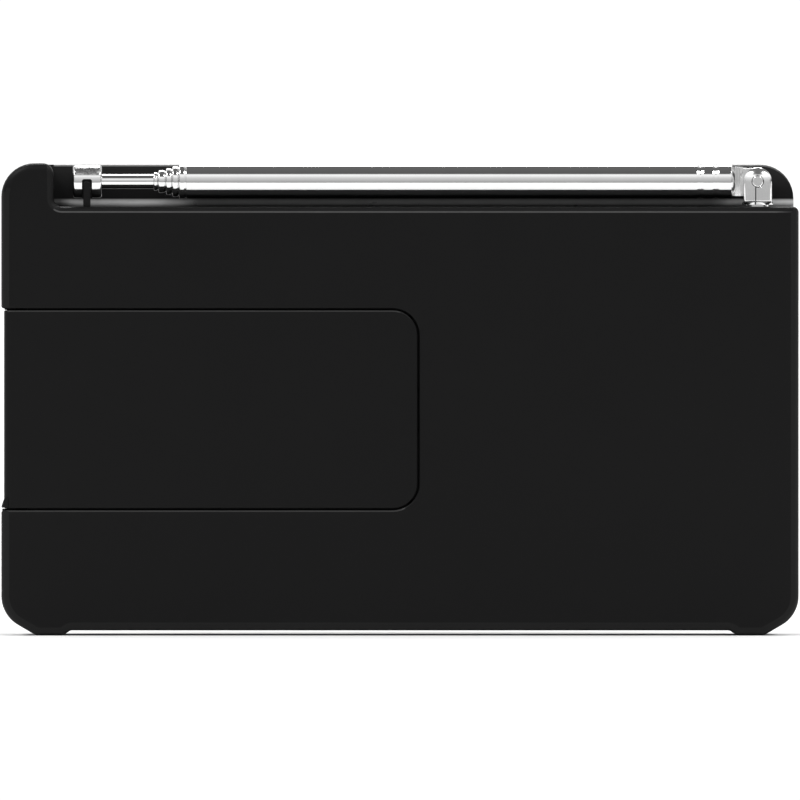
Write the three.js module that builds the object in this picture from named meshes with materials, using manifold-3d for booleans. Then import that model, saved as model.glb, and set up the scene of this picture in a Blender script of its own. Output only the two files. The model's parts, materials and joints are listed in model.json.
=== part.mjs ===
// A pocket-sized tabletop radio that runs on two AA cells, with a telescopic aerial folded into a groove
// along its top rear edge. Millimetres. The radio stands on z = 0 and its loudspeaker and controls face -y;
// +z is up, +x is to the right of someone who faces the controls, and +y points out of the back.
import * as THREE from 'three';
import { mergeVertices } from 'three/addons/utils/BufferGeometryUtils.js';
import Module from 'manifold-3d';

const wasm = await Module();
wasm.setup();

// ---------------------------------------------------------------- driving dimensions
const GAP = 0.3; // running and assembly clearance between two pieces

// Case: two shells. The front shell and the front part of the rear shell are a little smaller all round.
const CASE_WIDTH = 119;
const CASE_HEIGHT = 70.5;
const CASE_DEPTH = 29;
const KNOB_STANDOFF = 4.5; // from the case's front face to the tuning knob's
const REAR_Y = (CASE_DEPTH + KNOB_STANDOFF) / 2;
const FRONT_Y = REAR_Y - CASE_DEPTH;
const PARTING_Y = REAR_Y - 13;
const STEP_Y = REAR_Y - 8.2; // the smaller outline ends here
const SIDE_STEP = 0.7;
const TOP_STEP = 0.2;
const WALL = 1.8;
const FRONT_WALL = 2;
const CORNER_RADIUS = 5;
const LOWER_CORNER_Z = 5.9; // height of the lower corners' centres
const REAR_EDGE = 1.2;
const FRONT_EDGE = 2.5;

// Feet: two skids moulded along the underside.
const UNDERSIDE_Z = 0.75;
const FOOT_INNER_X = 50.3;
const FOOT_RAMP = 1.1;
const FOOT_OUTER_SLOPE = Math.PI / 6;

// Groove for the folded aerial.
const GROOVE_FLOOR_Z = 64;
const GROOVE_END_X = 51.74;
const GROOVE_LIP = 0.8;
const GROOVE_FILLET = 1.2;
const GROOVE_CORNER = 1.3;
const GROOVE_WALL = 1.6;
const POST = { x0: 46.2, x1: 47.27, depth0: 1.15, depth1: 2.85, top: 67.75 };

// Battery bay, behind a door that slides out sideways. Depths are measured inwards from the rear face.
const BAY = { x0: -1.9, x1: 55.7, z0: 18.7, z1: 48.8, depth: 16.5, wall: 1.2, ledgeWall: 2.4 };
const BAY_MIDDLE_Z = (BAY.z0 + BAY.z1) / 2;
const LEDGE = { height: 1, depth0: 1.9, depth1: 3.1 };
const DOOR = { x0: -2.6, x1: 59.1, thickness: 1.6, corner: 3.7, clearance: 0.27, frontY: STEP_Y + GAP };
const HOOK = { stem0: 1.3, stem1: 1.9, foot: 0.4, footDepth0: 3.4, footDepth1: 4.6, length: 6, at: [6, 40] };
const LATCH = { x0: -4.6, x1: -1.1, depth0: 2.1, depth1: 3.1, z0: 31, z1: 36.5 };

// Cells and their contacts.
const CELL = { radius: 7.1, length: 50.5, nubRadius: 2.6, nubLength: 1.2, depth: 9.1 };
const UPPER_CELL = { x: 4.1, z: 41 };
const LOWER_CELL = { x: -0.8, z: 26.5 };
const CONTACT = { thickness: 0.4, halfHeight: 5.5, y0: 2, y1: 12.5, tailWidth: 2 };
const SPRING = { wire: 0.35, baseRadius: 4.6, endRadius: 2.9, turns: 4 };
const SCREW = { z: BAY_MIDDLE_Z, at: [10, 45], shank: 1, head: 2, bossRadius: 2.5 };

// Aerial: a clevis that swivels on a stud, an eye that tilts in it, and six nested sections.
const PIVOT = { x: -53.4, depth: 4.45, z: 67.76 };
const CLEVIS = {
  radius: 2.1, width: 4.8, slot: 2.2, floor: -2.5, base: -3.5, flange: 0.4, stud: 1.7, studHole: 2,
};
const AERIAL_RADII = [2.6, 2.3, 2.0, 1.7, 1.4, 1.1];
const AERIAL_ENDS = [86.4, 87.4, 88.35, 89.5, 90.2, 97.6]; // outer end of each folded section, from the pivot
const AERIAL_STARTS = [3.8, 10.9, 11.4, 11.9, 12.4, 13.9];
const TUBE_WALL = 0.18;
const TIP = { radius: 2.45, length: 4.34, slot: 1.58, slotTop: 0.36, slotFrom: 1.44 };

// Circuit board.
const BOARD = { x0: 2, x1: 56.5, z0: 3.5, z1: 66.5, corner: 2.5, frontY: -2.85, rearY: -1.45 };

// Loudspeaker and controls.
const SPEAKER = { x: -29.5, z: 36, flange: 25, opening: 23.2, grille: 24.7 };
const DIAL = { x: 24.5, z: 41, radius: 21, knob: 14.5, flutes: 30, inlay: 12.3, hole: 4 };
const VOLUME = { x: 46, z: 11.8, knob: 6.5, flutes: 20, hole: 3.5 };
const BAND = { x: 14, z: 11.8, travel: 4 };
const LED = { x: 51.5, z: 62, radius: 1.5 };
const JACK = { y: -6.2, z: 57, bush: 2.75, bore: 1.8 };
const RECESS = 0.9; // depth of the grille's and the dial's recesses

// ---------------------------------------------------------------- finishes
const finish = (color, roughness, metalness = 0) => () =>
  new THREE.MeshStandardMaterial({ color, roughness, metalness });
const casePlastic = finish(0x1b1b1c, 0.5);
const knobPlastic = finish(0x202022, 0.42);
const dialPlastic = finish(0x0e0f10, 0.3);
const chrome = finish(0xe4e6e8, 0.12, 1);
const steel = finish(0xb9bcc0, 0.35, 1);
const grilleSteel = finish(0x2a2b2d, 0.45, 0.8);
const aluminium = finish(0xc9ccd0, 0.3, 1);
const boardLaminate = finish(0x1f5a34, 0.5);
const blackResin = finish(0x17181a, 0.45);
const ferrite = finish(0x3a3837, 0.6);
const copper = finish(0xb8693a, 0.35, 1);
const whiteNylon = finish(0xe8e6df, 0.5);
const conePaper = finish(0x2b2926, 0.9);
const cellWrap = finish(0x8d9298, 0.35, 0.4);
const ledLens = finish(0xb3231d, 0.2);
const leadInsulation = finish(0xb8332a, 0.5);

// ---------------------------------------------------------------- solids
function solid(geometry) {
  const bare = new THREE.BufferGeometry();
  bare.setAttribute('position', geometry.getAttribute('position'));
  bare.setIndex(geometry.index);
  const merged = mergeVertices(bare, 1e-4);
  const corners = merged.index.array;
  const kept = [];
  for (let i = 0; i < corners.length; i += 3) {
    const [a, b, c] = [corners[i], corners[i + 1], corners[i + 2]];
    if (a !== b && b !== c && c !== a) kept.push(a, b, c);
  }
  const build = (triangles) => new wasm.Manifold(new wasm.Mesh({
    numProp: 3,
    vertProperties: merged.attributes.position.array,
    triVerts: new Uint32Array(triangles),
  }));
  const body = build(kept);
  return body.volume() > 0 ? body : build(kept.reverse()); // a profile may run either way
}

function geometryOf(body) {
  const mesh = body.getMesh();
  const geometry = new THREE.BufferGeometry();
  geometry.setAttribute('position', new THREE.BufferAttribute(mesh.vertProperties, 3));
  geometry.setIndex(new THREE.BufferAttribute(mesh.triVerts, 1));
  geometry.computeVertexNormals();
  return geometry;
}

function block(x0, x1, y0, y1, z0, z1) {
  const geometry = new THREE.BoxGeometry(x1 - x0, y1 - y0, z1 - z0);
  return solid(geometry.translate((x0 + x1) / 2, (y0 + y1) / 2, (z0 + z1) / 2));
}

// Turns a geometry whose own axis is y so that it lies along the given axis, then moves it there.
function lay(geometry, axis, { x = 0, y = 0, z = 0 }) {
  if (axis === 'x') geometry.rotateZ(-Math.PI / 2);
  if (axis === 'z') geometry.rotateX(Math.PI / 2);
  return geometry.translate(x, y, z);
}

function cylinder(axis, centre, radius, from, to, sides = 24) {
  const geometry = new THREE.CylinderGeometry(radius, radius, to - from, sides);
  return solid(lay(geometry.translate(0, (from + to) / 2, 0), axis, centre));
}

// A body of revolution; each profile point is [radius, distance along the axis].
function turned(axis, centre, profile, sides = 24) {
  const points = profile.map(([radius, along]) => new THREE.Vector2(radius, along));
  return solid(lay(new THREE.LatheGeometry(points, sides), axis, centre));
}

// A prism along y whose section is drawn in x and z.
function prism(outline, y0, y1) {
  const options = { depth: y1 - y0, bevelEnabled: false, curveSegments: 4 };
  const geometry = new THREE.ExtrudeGeometry(outline, options);
  return solid(geometry.rotateX(Math.PI / 2).translate(0, y1, 0));
}

// The same with a rounded edge at roundY and a square one at flatY. A flare opens outwards instead.
function roundedPrism(outline, flatY, roundY, radius, { flare = false, steps = 3 } = {}) {
  const outward = Math.sign(roundY - flatY);
  const hiddenY = flatY - outward * 2 * radius;
  const [y0, y1] = [Math.min(hiddenY, roundY), Math.max(hiddenY, roundY)];
  const geometry = new THREE.ExtrudeGeometry(outline, {
    depth: y1 - y0 - 2 * radius,
    curveSegments: 4,
    bevelThickness: radius,
    bevelSize: flare ? -radius : radius,
    bevelOffset: flare ? radius : -radius,
    bevelSegments: steps,
  });
  geometry.rotateX(Math.PI / 2).translate(0, y1 - radius, 0);
  const reach = 2 * CASE_WIDTH;
  const [keep0, keep1] = [Math.min(flatY, roundY), Math.max(flatY, roundY)];
  return solid(geometry).intersect(block(-reach, reach, keep0, keep1, -reach, reach));
}

function roundedRectangle(x0, x1, z0, z1, radius) {
  const outline = new THREE.Shape();
  outline.moveTo(x0 + radius, z0);
  outline.lineTo(x1 - radius, z0);
  outline.absarc(x1 - radius, z0 + radius, radius, -Math.PI / 2, 0);
  outline.lineTo(x1, z1 - radius);
  outline.absarc(x1 - radius, z1 - radius, radius, 0, Math.PI / 2);
  outline.lineTo(x0 + radius, z1);
  outline.absarc(x0 + radius, z1 - radius, radius, Math.PI / 2, Math.PI);
  outline.lineTo(x0, z0 + radius);
  outline.absarc(x0 + radius, z0 + radius, radius, Math.PI, 1.5 * Math.PI);
  return outline;
}

function ring(radius, sides) {
  return Array.from({ length: sides }, (_, i) => {
    const angle = (2 * Math.PI * i) / sides;
    return new THREE.Vector2(radius * Math.cos(angle), radius * Math.sin(angle));
  });
}

// A round wire along a curve.
function wire(curve, radius, steps, sides = 6) {
  const section = new THREE.Shape(ring(radius, sides));
  return solid(new THREE.ExtrudeGeometry(section, { steps, extrudePath: curve, bevelEnabled: false }));
}

function lead(points, steps) {
  const curve = new THREE.CatmullRomCurve3(points.map((point) => new THREE.Vector3(...point)));
  return wire(curve, 0.5, steps);
}

function piece(name, body, material, position = [0, 0, 0]) {
  const mesh = new THREE.Mesh(geometryOf(body), material());
  mesh.name = name;
  mesh.position.set(...position);
  return mesh;
}

function group(position, pieces) {
  const assembly = new THREE.Group();
  assembly.position.set(...position);
  assembly.add(...pieces);
  return assembly;
}

// ---------------------------------------------------------------- case
// The case seen from the front: round upper corners, and skids whose outer flanks run into the lower ones.
function caseOutline(sideInset, topInset) {
  const half = CASE_WIDTH / 2 - sideInset;
  const top = CASE_HEIGHT - topInset;
  const cornerX = half - CORNER_RADIUS;
  const flankX = cornerX + CORNER_RADIUS * Math.sin(FOOT_OUTER_SLOPE);
  const flankZ = LOWER_CORNER_Z - CORNER_RADIUS * Math.cos(FOOT_OUTER_SLOPE);
  const footOuterX = flankX - flankZ / Math.tan(FOOT_OUTER_SLOPE);
  const lowerEnd = FOOT_OUTER_SLOPE - Math.PI / 2;
  const outline = new THREE.Shape();
  outline.moveTo(FOOT_RAMP - FOOT_INNER_X, UNDERSIDE_Z);
  outline.lineTo(FOOT_INNER_X - FOOT_RAMP, UNDERSIDE_Z);
  outline.lineTo(FOOT_INNER_X, 0);
  outline.lineTo(footOuterX, 0);
  outline.absarc(cornerX, LOWER_CORNER_Z, CORNER_RADIUS, lowerEnd, 0);
  outline.absarc(cornerX, top - CORNER_RADIUS, CORNER_RADIUS, 0, Math.PI / 2);
  outline.absarc(-cornerX, top - CORNER_RADIUS, CORNER_RADIUS, Math.PI / 2, Math.PI);
  outline.absarc(-cornerX, LOWER_CORNER_Z, CORNER_RADIUS, Math.PI, Math.PI - lowerEnd);
  outline.lineTo(-footOuterX, 0);
  outline.lineTo(-FOOT_INNER_X, 0);
  return outline;
}

function cavityOutline(inset = 0) {
  const half = CASE_WIDTH / 2 - SIDE_STEP - WALL - inset;
  const [z0, z1] = [UNDERSIDE_Z + WALL + inset, CASE_HEIGHT - TOP_STEP - WALL - inset];
  return roundedRectangle(-half, half, z0, z1, CORNER_RADIUS - WALL - inset);
}

// The rear shell's lip, which reaches inside the front shell and closes the seam between them.
function caseLip() {
  const [y0, y1] = [PARTING_Y - 1.6, PARTING_Y + 3];
  const root = prism(cavityOutline(-0.3), PARTING_Y + 1, y1);
  return root.add(prism(cavityOutline(GAP), y0, y1)).subtract(prism(cavityOutline(1.1), y0 - 1, y1 + 1));
}

// The groove's hollow: open at the top, at the back and at its -x end, with a rounded lip at the back.
function grooveHollow() {
  const [left, top] = [-CASE_WIDTH, 2 * CASE_HEIGHT];
  const [cornerX, cornerZ] = [GROOVE_END_X - GROOVE_CORNER, GROOVE_FLOOR_Z + GROOVE_CORNER];
  const outline = new THREE.Shape();
  outline.moveTo(left, GROOVE_FLOOR_Z);
  outline.lineTo(cornerX, GROOVE_FLOOR_Z);
  outline.absarc(cornerX, cornerZ, GROOVE_CORNER, -Math.PI / 2, 0);
  outline.lineTo(GROOVE_END_X, top);
  outline.lineTo(left, top);
  return roundedPrism(outline, STEP_Y, REAR_Y, GROOVE_LIP, { flare: true, steps: 4 });
}

// The hollow fillet where the groove's floor meets its front wall.
function grooveFillet() {
  const radius = GROOVE_FILLET;
  const section = new THREE.Shape();
  section.moveTo(-0.5, -0.5);
  section.lineTo(radius, -0.5);
  section.lineTo(radius, 0);
  section.absarc(radius, radius, radius, 1.5 * Math.PI, Math.PI, true);
  section.lineTo(-0.5, radius);
  const x0 = SIDE_STEP - CASE_WIDTH / 2;
  const length = GROOVE_END_X + 0.5 - x0;
  const options = { depth: length, bevelEnabled: false, curveSegments: 3 };
  const geometry = new THREE.ExtrudeGeometry(section, options);
  const axes = [[0, 1, 0], [0, 0, 1], [1, 0, 0]].map((axis) => new THREE.Vector3(...axis));
  geometry.applyMatrix4(new THREE.Matrix4().makeBasis(...axes));
  return solid(geometry.translate(x0, STEP_Y, GROOVE_FLOOR_Z));
}

// The door's cut-out in the rear wall, with its two round corners.
function doorOpening() {
  const far = CASE_WIDTH;
  const outline = roundedRectangle(DOOR.x0 - GAP, far, BAY.z0, BAY.z1, DOOR.corner + GAP);
  return prism(outline, REAR_Y - WALL, REAR_Y + 1);
}

function batteryBay() {
  const [x0, x1, z0, z1] = [BAY.x0 - BAY.wall, BAY.x1, BAY.z0 - BAY.ledgeWall, BAY.z1 + BAY.ledgeWall];
  const frontY = REAR_Y - BAY.depth - BAY.wall;
  const sideX = CASE_WIDTH / 2 - SIDE_STEP - WALL;
  const insideRearWall = REAR_Y - WALL / 2;
  return block(x0, sideX - GAP, frontY, insideRearWall, z0, z1)
    .add(block(x1, sideX + 0.2, PARTING_Y + GAP / 2, insideRearWall, z0, z1));
}

function bayHollow() {
  const { x0, x1, z0, z1 } = BAY;
  const floorY = REAR_Y - BAY.depth;
  const ledges = [[z0, z0 + LEDGE.height], [z1 - LEDGE.height, z1]].map(([low, high]) =>
    block(x0 - 1, x1, REAR_Y - LEDGE.depth1, REAR_Y - LEDGE.depth0, low, high));
  let hollow = block(x0, x1, floorY, REAR_Y - WALL, z0, z1).add(doorOpening());
  for (const ledge of ledges) hollow = hollow.subtract(ledge);
  const notchDepth = HOOK.footDepth1 + GAP;
  const notchHeight = HOOK.stem1 + GAP;
  for (const [low, high] of [[z0, z0 + notchHeight], [z1 - notchHeight, z1]]) {
    hollow = hollow.add(block(x1 - 0.1, x1 + 4, REAR_Y - notchDepth, REAR_Y - WALL, low, high));
  }
  const latchDepth = LATCH.depth1 + GAP;
  return hollow
    .add(block(LATCH.x0, x0 + 0.1, REAR_Y - latchDepth, REAR_Y - WALL, LATCH.z0 - 0.5, LATCH.z1 + 0.5))
    .add(block(sideCutX(), CASE_WIDTH, STEP_Y, REAR_Y + 1, z0, z1));
}

function sideCutX() {
  return CASE_WIDTH / 2 - SIDE_STEP - WALL + 0.2;
}

function floorOpenings() {
  const floorY = REAR_Y - BAY.depth;
  const [y0, y1] = [floorY - BAY.wall - 0.1, floorY + 0.1];
  const pivot = { x: PIVOT.x, y: REAR_Y - PIVOT.depth };
  let cut = cylinder('z', pivot, CLEVIS.studHole, GROOVE_FLOOR_Z - 4, GROOVE_FLOOR_Z + 1, 20);
  for (const x of SCREW.at) cut = cut.add(cylinder('y', { x, z: SCREW.z }, SCREW.shank + GAP, y0, y1, 12));
  const [tail0, tail1] = [BAY.x1 - GAP - CONTACT.thickness - GAP, BAY.x1];
  for (const { z } of [UPPER_CELL, LOWER_CELL]) {
    const half = CONTACT.tailWidth / 2 + GAP;
    cut = cut.add(block(tail0, tail1, y0, y1, z - half, z + half));
  }
  return cut;
}

function rearCase() {
  const rearZone = roundedPrism(caseOutline(0, 0), STEP_Y, REAR_Y, REAR_EDGE);
  const frontZone = prism(caseOutline(SIDE_STEP, TOP_STEP), PARTING_Y + GAP / 2, STEP_Y + 1);
  const aroundGroove = block(-CASE_WIDTH, GROOVE_END_X + GROOVE_WALL, STEP_Y - GROOVE_WALL, REAR_Y,
    GROOVE_FLOOR_Z - GROOVE_WALL, CASE_HEIGHT);
  const cavity = prism(cavityOutline(), 0, REAR_Y - WALL).subtract(aroundGroove);
  const [postFrontY, postRearY] = [REAR_Y - POST.depth1, REAR_Y - POST.depth0];
  const post = block(POST.x0, POST.x1, postFrontY, postRearY, GROOVE_FLOOR_Z - 1, POST.top);
  const side = CASE_WIDTH / 2 - SIDE_STEP - WALL;
  const locatingTab = block(-side + GAP, 1.3 - side, PARTING_Y - 3, PARTING_Y + 6, 25, 45)
    .add(block(-side - 0.5, 1.3 - side, PARTING_Y + 3, PARTING_Y + 6, 25, 45));
  return rearZone.add(frontZone).subtract(cavity).add(caseLip())
    .subtract(grooveHollow()).add(grooveFillet()).add(post)
    .add(batteryBay()).subtract(bayHollow()).subtract(floorOpenings()).add(locatingTab);
}

function frontCase() {
  const shell = roundedPrism(caseOutline(SIDE_STEP, TOP_STEP), PARTING_Y - GAP / 2, FRONT_Y, FRONT_EDGE)
    .subtract(prism(cavityOutline(), FRONT_Y + FRONT_WALL, PARTING_Y + 1));
  const innerY = FRONT_Y + FRONT_WALL;
  const through = (centre, radius, sides) => cylinder('y', centre, radius, FRONT_Y - 1, innerY + 0.5, sides);
  const recess = (centre, radius) => cylinder('y', centre, radius, FRONT_Y - 1, FRONT_Y + RECESS, 36);
  const ringOuter = cylinder('y', SPEAKER, SPEAKER.flange + 1.5, innerY - 0.5, innerY + 2, 36);
  const ringInner = cylinder('y', SPEAKER, SPEAKER.flange + GAP, innerY - 1, innerY + 3, 36);
  let body = shell.add(ringOuter.subtract(ringInner));
  const bossEndY = REAR_Y - BAY.depth - BAY.wall - GAP;
  for (const x of SCREW.at) {
    body = body.add(cylinder('y', { x, z: SCREW.z }, SCREW.bossRadius, innerY - 0.5, bossEndY, 12));
  }
  const slot = { half: BAND.travel / 2 + 1.6, halfHeight: 1.4 };
  body = body
    .subtract(through(SPEAKER, SPEAKER.opening, 36)).subtract(recess(SPEAKER, SPEAKER.grille + GAP))
    .subtract(through(DIAL, DIAL.hole, 20)).subtract(recess(DIAL, DIAL.radius + GAP))
    .subtract(through(VOLUME, VOLUME.hole, 20)).subtract(through(LED, LED.radius + GAP, 16))
    .subtract(block(BAND.x - slot.half, BAND.x + slot.half, FRONT_Y - 1, innerY + 1,
      BAND.z - slot.halfHeight, BAND.z + slot.halfHeight))
    .subtract(block(BAND.x - 4.8, BAND.x + 4.8, FRONT_Y - 1, FRONT_Y + 0.8, BAND.z - 2.3, BAND.z + 2.3))
    .subtract(cylinder('x', JACK, JACK.bush + 0.35, CASE_WIDTH / 2 - 4, CASE_WIDTH / 2 + 1, 20));
  for (const x of SCREW.at) {
    body = body.subtract(cylinder('y', { x, z: SCREW.z }, SCREW.shank + GAP, innerY + 0.5, 1, 12));
  }
  return body;
}

// The door: a plate, a skirt round the case's side, four hooks under the bay's ledges and a latch tongue.
function batteryDoor() {
  const [z0, z1] = [BAY.z0 + DOOR.clearance, BAY.z1 - DOOR.clearance];
  const plateOutline = roundedRectangle(DOOR.x0, DOOR.x1 + 20, z0, z1, DOOR.corner);
  const plate = prism(plateOutline, REAR_Y - DOOR.thickness, REAR_Y);
  const skirtX = DOOR.x1 - DOOR.thickness;
  const skirt = block(skirtX, DOOR.x1 + 1, DOOR.frontY, REAR_Y, z0, z1);
  const endOutline = new THREE.Shape();
  endOutline.moveTo(-CASE_WIDTH, -CASE_HEIGHT);
  endOutline.lineTo(DOOR.x1, -CASE_HEIGHT);
  endOutline.lineTo(DOOR.x1, 2 * CASE_HEIGHT);
  endOutline.lineTo(-CASE_WIDTH, 2 * CASE_HEIGHT);
  let door = plate.add(skirt).intersect(roundedPrism(endOutline, DOOR.frontY, REAR_Y, REAR_EDGE));
  const rootDepth = DOOR.thickness - 0.1;
  for (const x of HOOK.at) {
    for (const upper of [true, false]) {
      const span = (low, high) => (upper ? [BAY.z1 - high, BAY.z1 - low] : [BAY.z0 + low, BAY.z0 + high]);
      const stem = block(x, x + HOOK.length, REAR_Y - HOOK.footDepth1, REAR_Y - rootDepth,
        ...span(HOOK.stem0, HOOK.stem1));
      const foot = block(x, x + HOOK.length, REAR_Y - HOOK.footDepth1, REAR_Y - HOOK.footDepth0,
        ...span(HOOK.foot, HOOK.stem1));
      door = door.add(stem).add(foot);
    }
  }
  const tongue = block(LATCH.x0, LATCH.x1, REAR_Y - LATCH.depth1, REAR_Y - LATCH.depth0, LATCH.z0, LATCH.z1);
  const riser = block(DOOR.x0 + 0.1, LATCH.x1, REAR_Y - LATCH.depth1, REAR_Y - rootDepth, LATCH.z0, LATCH.z1);
  return door.add(tongue).add(riser);
}

// A self-tapping screw along y, its head towards the back.
function caseScrew() {
  const headY = REAR_Y - BAY.depth + GAP;
  const tipY = FRONT_Y + FRONT_WALL + 1.2;
  return turned('y', {}, [[0, tipY], [SCREW.shank, tipY + 1.5], [SCREW.shank, headY], [SCREW.head, headY],
    [SCREW.head, headY + 0.8], [SCREW.head - 0.5, headY + 1.3], [0.8, headY + 1.3], [0.8, headY + 0.7],
    [0, headY + 0.7]], 12);
}

function caseParts() {
  return [
    piece('rear_case', rearCase(), casePlastic),
    piece('front_case', frontCase(), casePlastic),
    piece('battery_door', batteryDoor(), casePlastic),
    ...SCREW.at.map((x, i) => piece(`case_screw_${i + 1}`, caseScrew(), steel, [x, 0, SCREW.z])),
  ];
}

// ---------------------------------------------------------------- cells and contacts
// A cell along x from its flat end at 0; the nub is its positive end.
function cell() {
  const { radius, length, nubRadius, nubLength } = CELL;
  const shoulder = length - nubLength;
  return turned('x', {}, [[0, 0], [radius - 0.4, 0], [radius, 0.4], [radius, shoulder - 0.4],
    [radius - 0.4, shoulder], [nubRadius, shoulder], [nubRadius, length], [0, length]], 24);
}

class ConicalHelix extends THREE.Curve {
  constructor(length) {
    super();
    this.length = length;
  }

  getPoint(t, target = new THREE.Vector3()) {
    const angle = 2 * Math.PI * SPRING.turns * t;
    const radius = THREE.MathUtils.lerp(SPRING.baseRadius, SPRING.endRadius, t);
    return target.set(this.length * t, radius * Math.cos(angle), radius * Math.sin(angle));
  }
}

// A spring that stands on a contact plate at x = 0 and reaches towards +x.
function contactSpring(reach) {
  return wire(new ConicalHelix(reach - SPRING.wire), SPRING.wire, 44, 5);
}

function contactPlate(z0, z1) {
  const { thickness, y0, y1 } = CONTACT;
  return block(-thickness, 0, y0, y1, z0, z1);
}

// An end plate with a tail that drops through the bay's floor to the circuit board.
function endContact(z) {
  const tailEndY = BOARD.rearY + GAP;
  const half = CONTACT.tailWidth / 2;
  const tail = block(-CONTACT.thickness, 0, tailEndY, CONTACT.y0 + 0.1, z - half, z + half);
  return contactPlate(z - CONTACT.halfHeight, z + CONTACT.halfHeight).add(tail);
}

function batteryParts() {
  const axisY = REAR_Y - CELL.depth;
  const linkX = BAY.x0 + GAP + CONTACT.thickness;
  const endX = BAY.x1 - GAP;
  const springY = axisY - 0.1;
  const linkSpring = contactSpring(UPPER_CELL.x - GAP - linkX).translate([0, springY, UPPER_CELL.z]);
  const linkPlate = contactPlate(LOWER_CELL.z - CONTACT.halfHeight, UPPER_CELL.z + CONTACT.halfHeight);
  const link = linkPlate.add(linkSpring);
  const lowerCellEnd = LOWER_CELL.x + CELL.length;
  const negativeSpring = contactSpring(endX - CONTACT.thickness - lowerCellEnd - GAP)
    .mirror([1, 0, 0]).translate([-CONTACT.thickness, springY, LOWER_CELL.z]);
  const upper = piece('battery_upper', cell(), cellWrap, [UPPER_CELL.x, axisY, UPPER_CELL.z]);
  const lower = piece('battery_lower', cell(), cellWrap, [lowerCellEnd, axisY, LOWER_CELL.z]);
  lower.rotation.z = Math.PI;
  return [
    upper,
    lower,
    piece('battery_link_contact', link, steel, [linkX, 0, 0]),
    piece('battery_positive_contact', endContact(UPPER_CELL.z), steel, [endX, 0, 0]),
    piece('battery_negative_contact', endContact(LOWER_CELL.z).add(negativeSpring), steel, [endX, 0, 0]),
  ];
}

// ---------------------------------------------------------------- aerial, drawn about its tilt pivot
function clevis() {
  const { radius, width, slot, floor, base, flange, stud } = CLEVIS;
  const flangeTop = base + flange;
  const outline = new THREE.Shape();
  outline.moveTo(-radius, flangeTop - 0.1);
  outline.lineTo(radius, flangeTop - 0.1);
  outline.absarc(0, 0, radius, 0, Math.PI);
  const depth = width / 2;
  const roundedTop = cylinder('x', {}, depth, -3, 3, 32).add(block(-3, 3, -depth, depth, base, 0));
  const cheeks = prism(outline, -depth, depth).intersect(roundedTop);
  const slotCut = block(-3, 3, -slot / 2, slot / 2, floor, 3);
  const studEnd = GROOVE_FLOOR_Z - 1.3 - PIVOT.z;
  return cheeks.subtract(slotCut)
    .subtract(cylinder('y', {}, 1.15, -3, 3, 14))
    .add(cylinder('z', {}, 2.4, base, flangeTop, 20))
    .add(cylinder('z', {}, stud, studEnd, base + 0.1, 16))
    .subtract(cylinder('z', {}, 1.1, studEnd - 1, floor - 0.5, 12));
}

// The eye that tilts in the clevis, with its shoulder and the plug that the first section is crimped to.
function eye() {
  const thickness = CLEVIS.slot - 2 * GAP;
  const outline = new THREE.Shape();
  outline.absarc(0, 0, 2, Math.PI / 2, 1.5 * Math.PI);
  outline.lineTo(3, -2);
  outline.lineTo(3, 2);
  return prism(outline, -thickness / 2, thickness / 2)
    .subtract(cylinder('y', {}, 1.15, -3, 3, 14))
    .add(turned('x', {}, [[0, 2.6], [2.2, 2.6], [2.2, 3.5], [2.1, 3.5], [2.1, 10], [1.8, 10.4],
      [0, 10.4]], 16));
}

// Section i of the aerial: a thin tube; the outermost one has two rolled crimp grooves near its root.
function section(i) {
  const [outer, inner] = [AERIAL_RADII[i], AERIAL_RADII[i] - TUBE_WALL];
  const [start, end] = [AERIAL_STARTS[i], AERIAL_ENDS[i]];
  const groove = (at) => [[outer, at - 0.4], [outer - 0.08, at], [outer, at + 0.4]];
  const crimps = i === 0 ? [...groove(start + 2.5), ...groove(start + 4.6)] : [];
  return turned('x', {}, [[inner, start], [outer, start], ...crimps, [outer, end], [inner, end],
    [inner, start]], 16);
}

function tip() {
  const { radius, length, slot, slotTop, slotFrom } = TIP;
  const cap = turned('x', {}, [[0, 0], [radius - 0.5, 0], [radius, 0.4], [radius, length - 0.6],
    [radius - 0.4, length], [0, length]], 20);
  return cap.subtract(block(slotFrom, slotFrom + slot, -5, 5, -5, slotTop));
}

function aerialParts() {
  const last = AERIAL_RADII.length - 1;
  const tubeNames = AERIAL_RADII.slice(0, last).map((_, i) => `antenna_section_${i + 1}`);
  const tubes = tubeNames.map((name, i) => piece(name, section(i), chrome));
  const rod = cylinder('x', {}, AERIAL_RADII[last], AERIAL_STARTS[last], AERIAL_ENDS[last], 16);
  const floorZ = GROOVE_FLOOR_Z - GROOVE_WALL - PIVOT.z;
  const washer = (radius, top) => turned('z', {}, [[1.15, top - 0.4], [radius, top - 0.4], [radius, top],
    [1.15, top], [1.15, top - 0.4]], 16);
  const headTop = floorZ - 3 * GAP - 0.8;
  const screw = turned('z', {}, [[0, headTop - 1.1], [1.9, headTop - 1.1], [2.2, headTop - 0.7],
    [2.2, headTop], [0.8, headTop], [0.8, CLEVIS.floor - 0.9], [0, CLEVIS.floor - 0.9]], 14);
  const tagTop = floorZ - GAP;
  const solderTag = washer(2.3, tagTop).add(block(2.2, 5.2, -0.8, 0.8, tagTop - 0.4, tagTop));
  return group([PIVOT.x, REAR_Y - PIVOT.depth, PIVOT.z], [
    piece('antenna_clevis', clevis(), chrome),
    piece('antenna_pivot_pin', cylinder('y', {}, 0.85, -2.4, 2.4, 14), chrome),
    piece('antenna_eye', eye(), chrome),
    ...tubes,
    piece('antenna_rod', rod, chrome),
    piece('antenna_tip', tip(), chrome, [AERIAL_ENDS[last] + GAP, 0, 0]),
    piece('antenna_screw', screw, steel),
    piece('antenna_washer', washer(2.3, floorZ - 2 * GAP - 0.4), steel),
    piece('antenna_solder_tag', solderTag, steel),
  ]);
}

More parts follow.
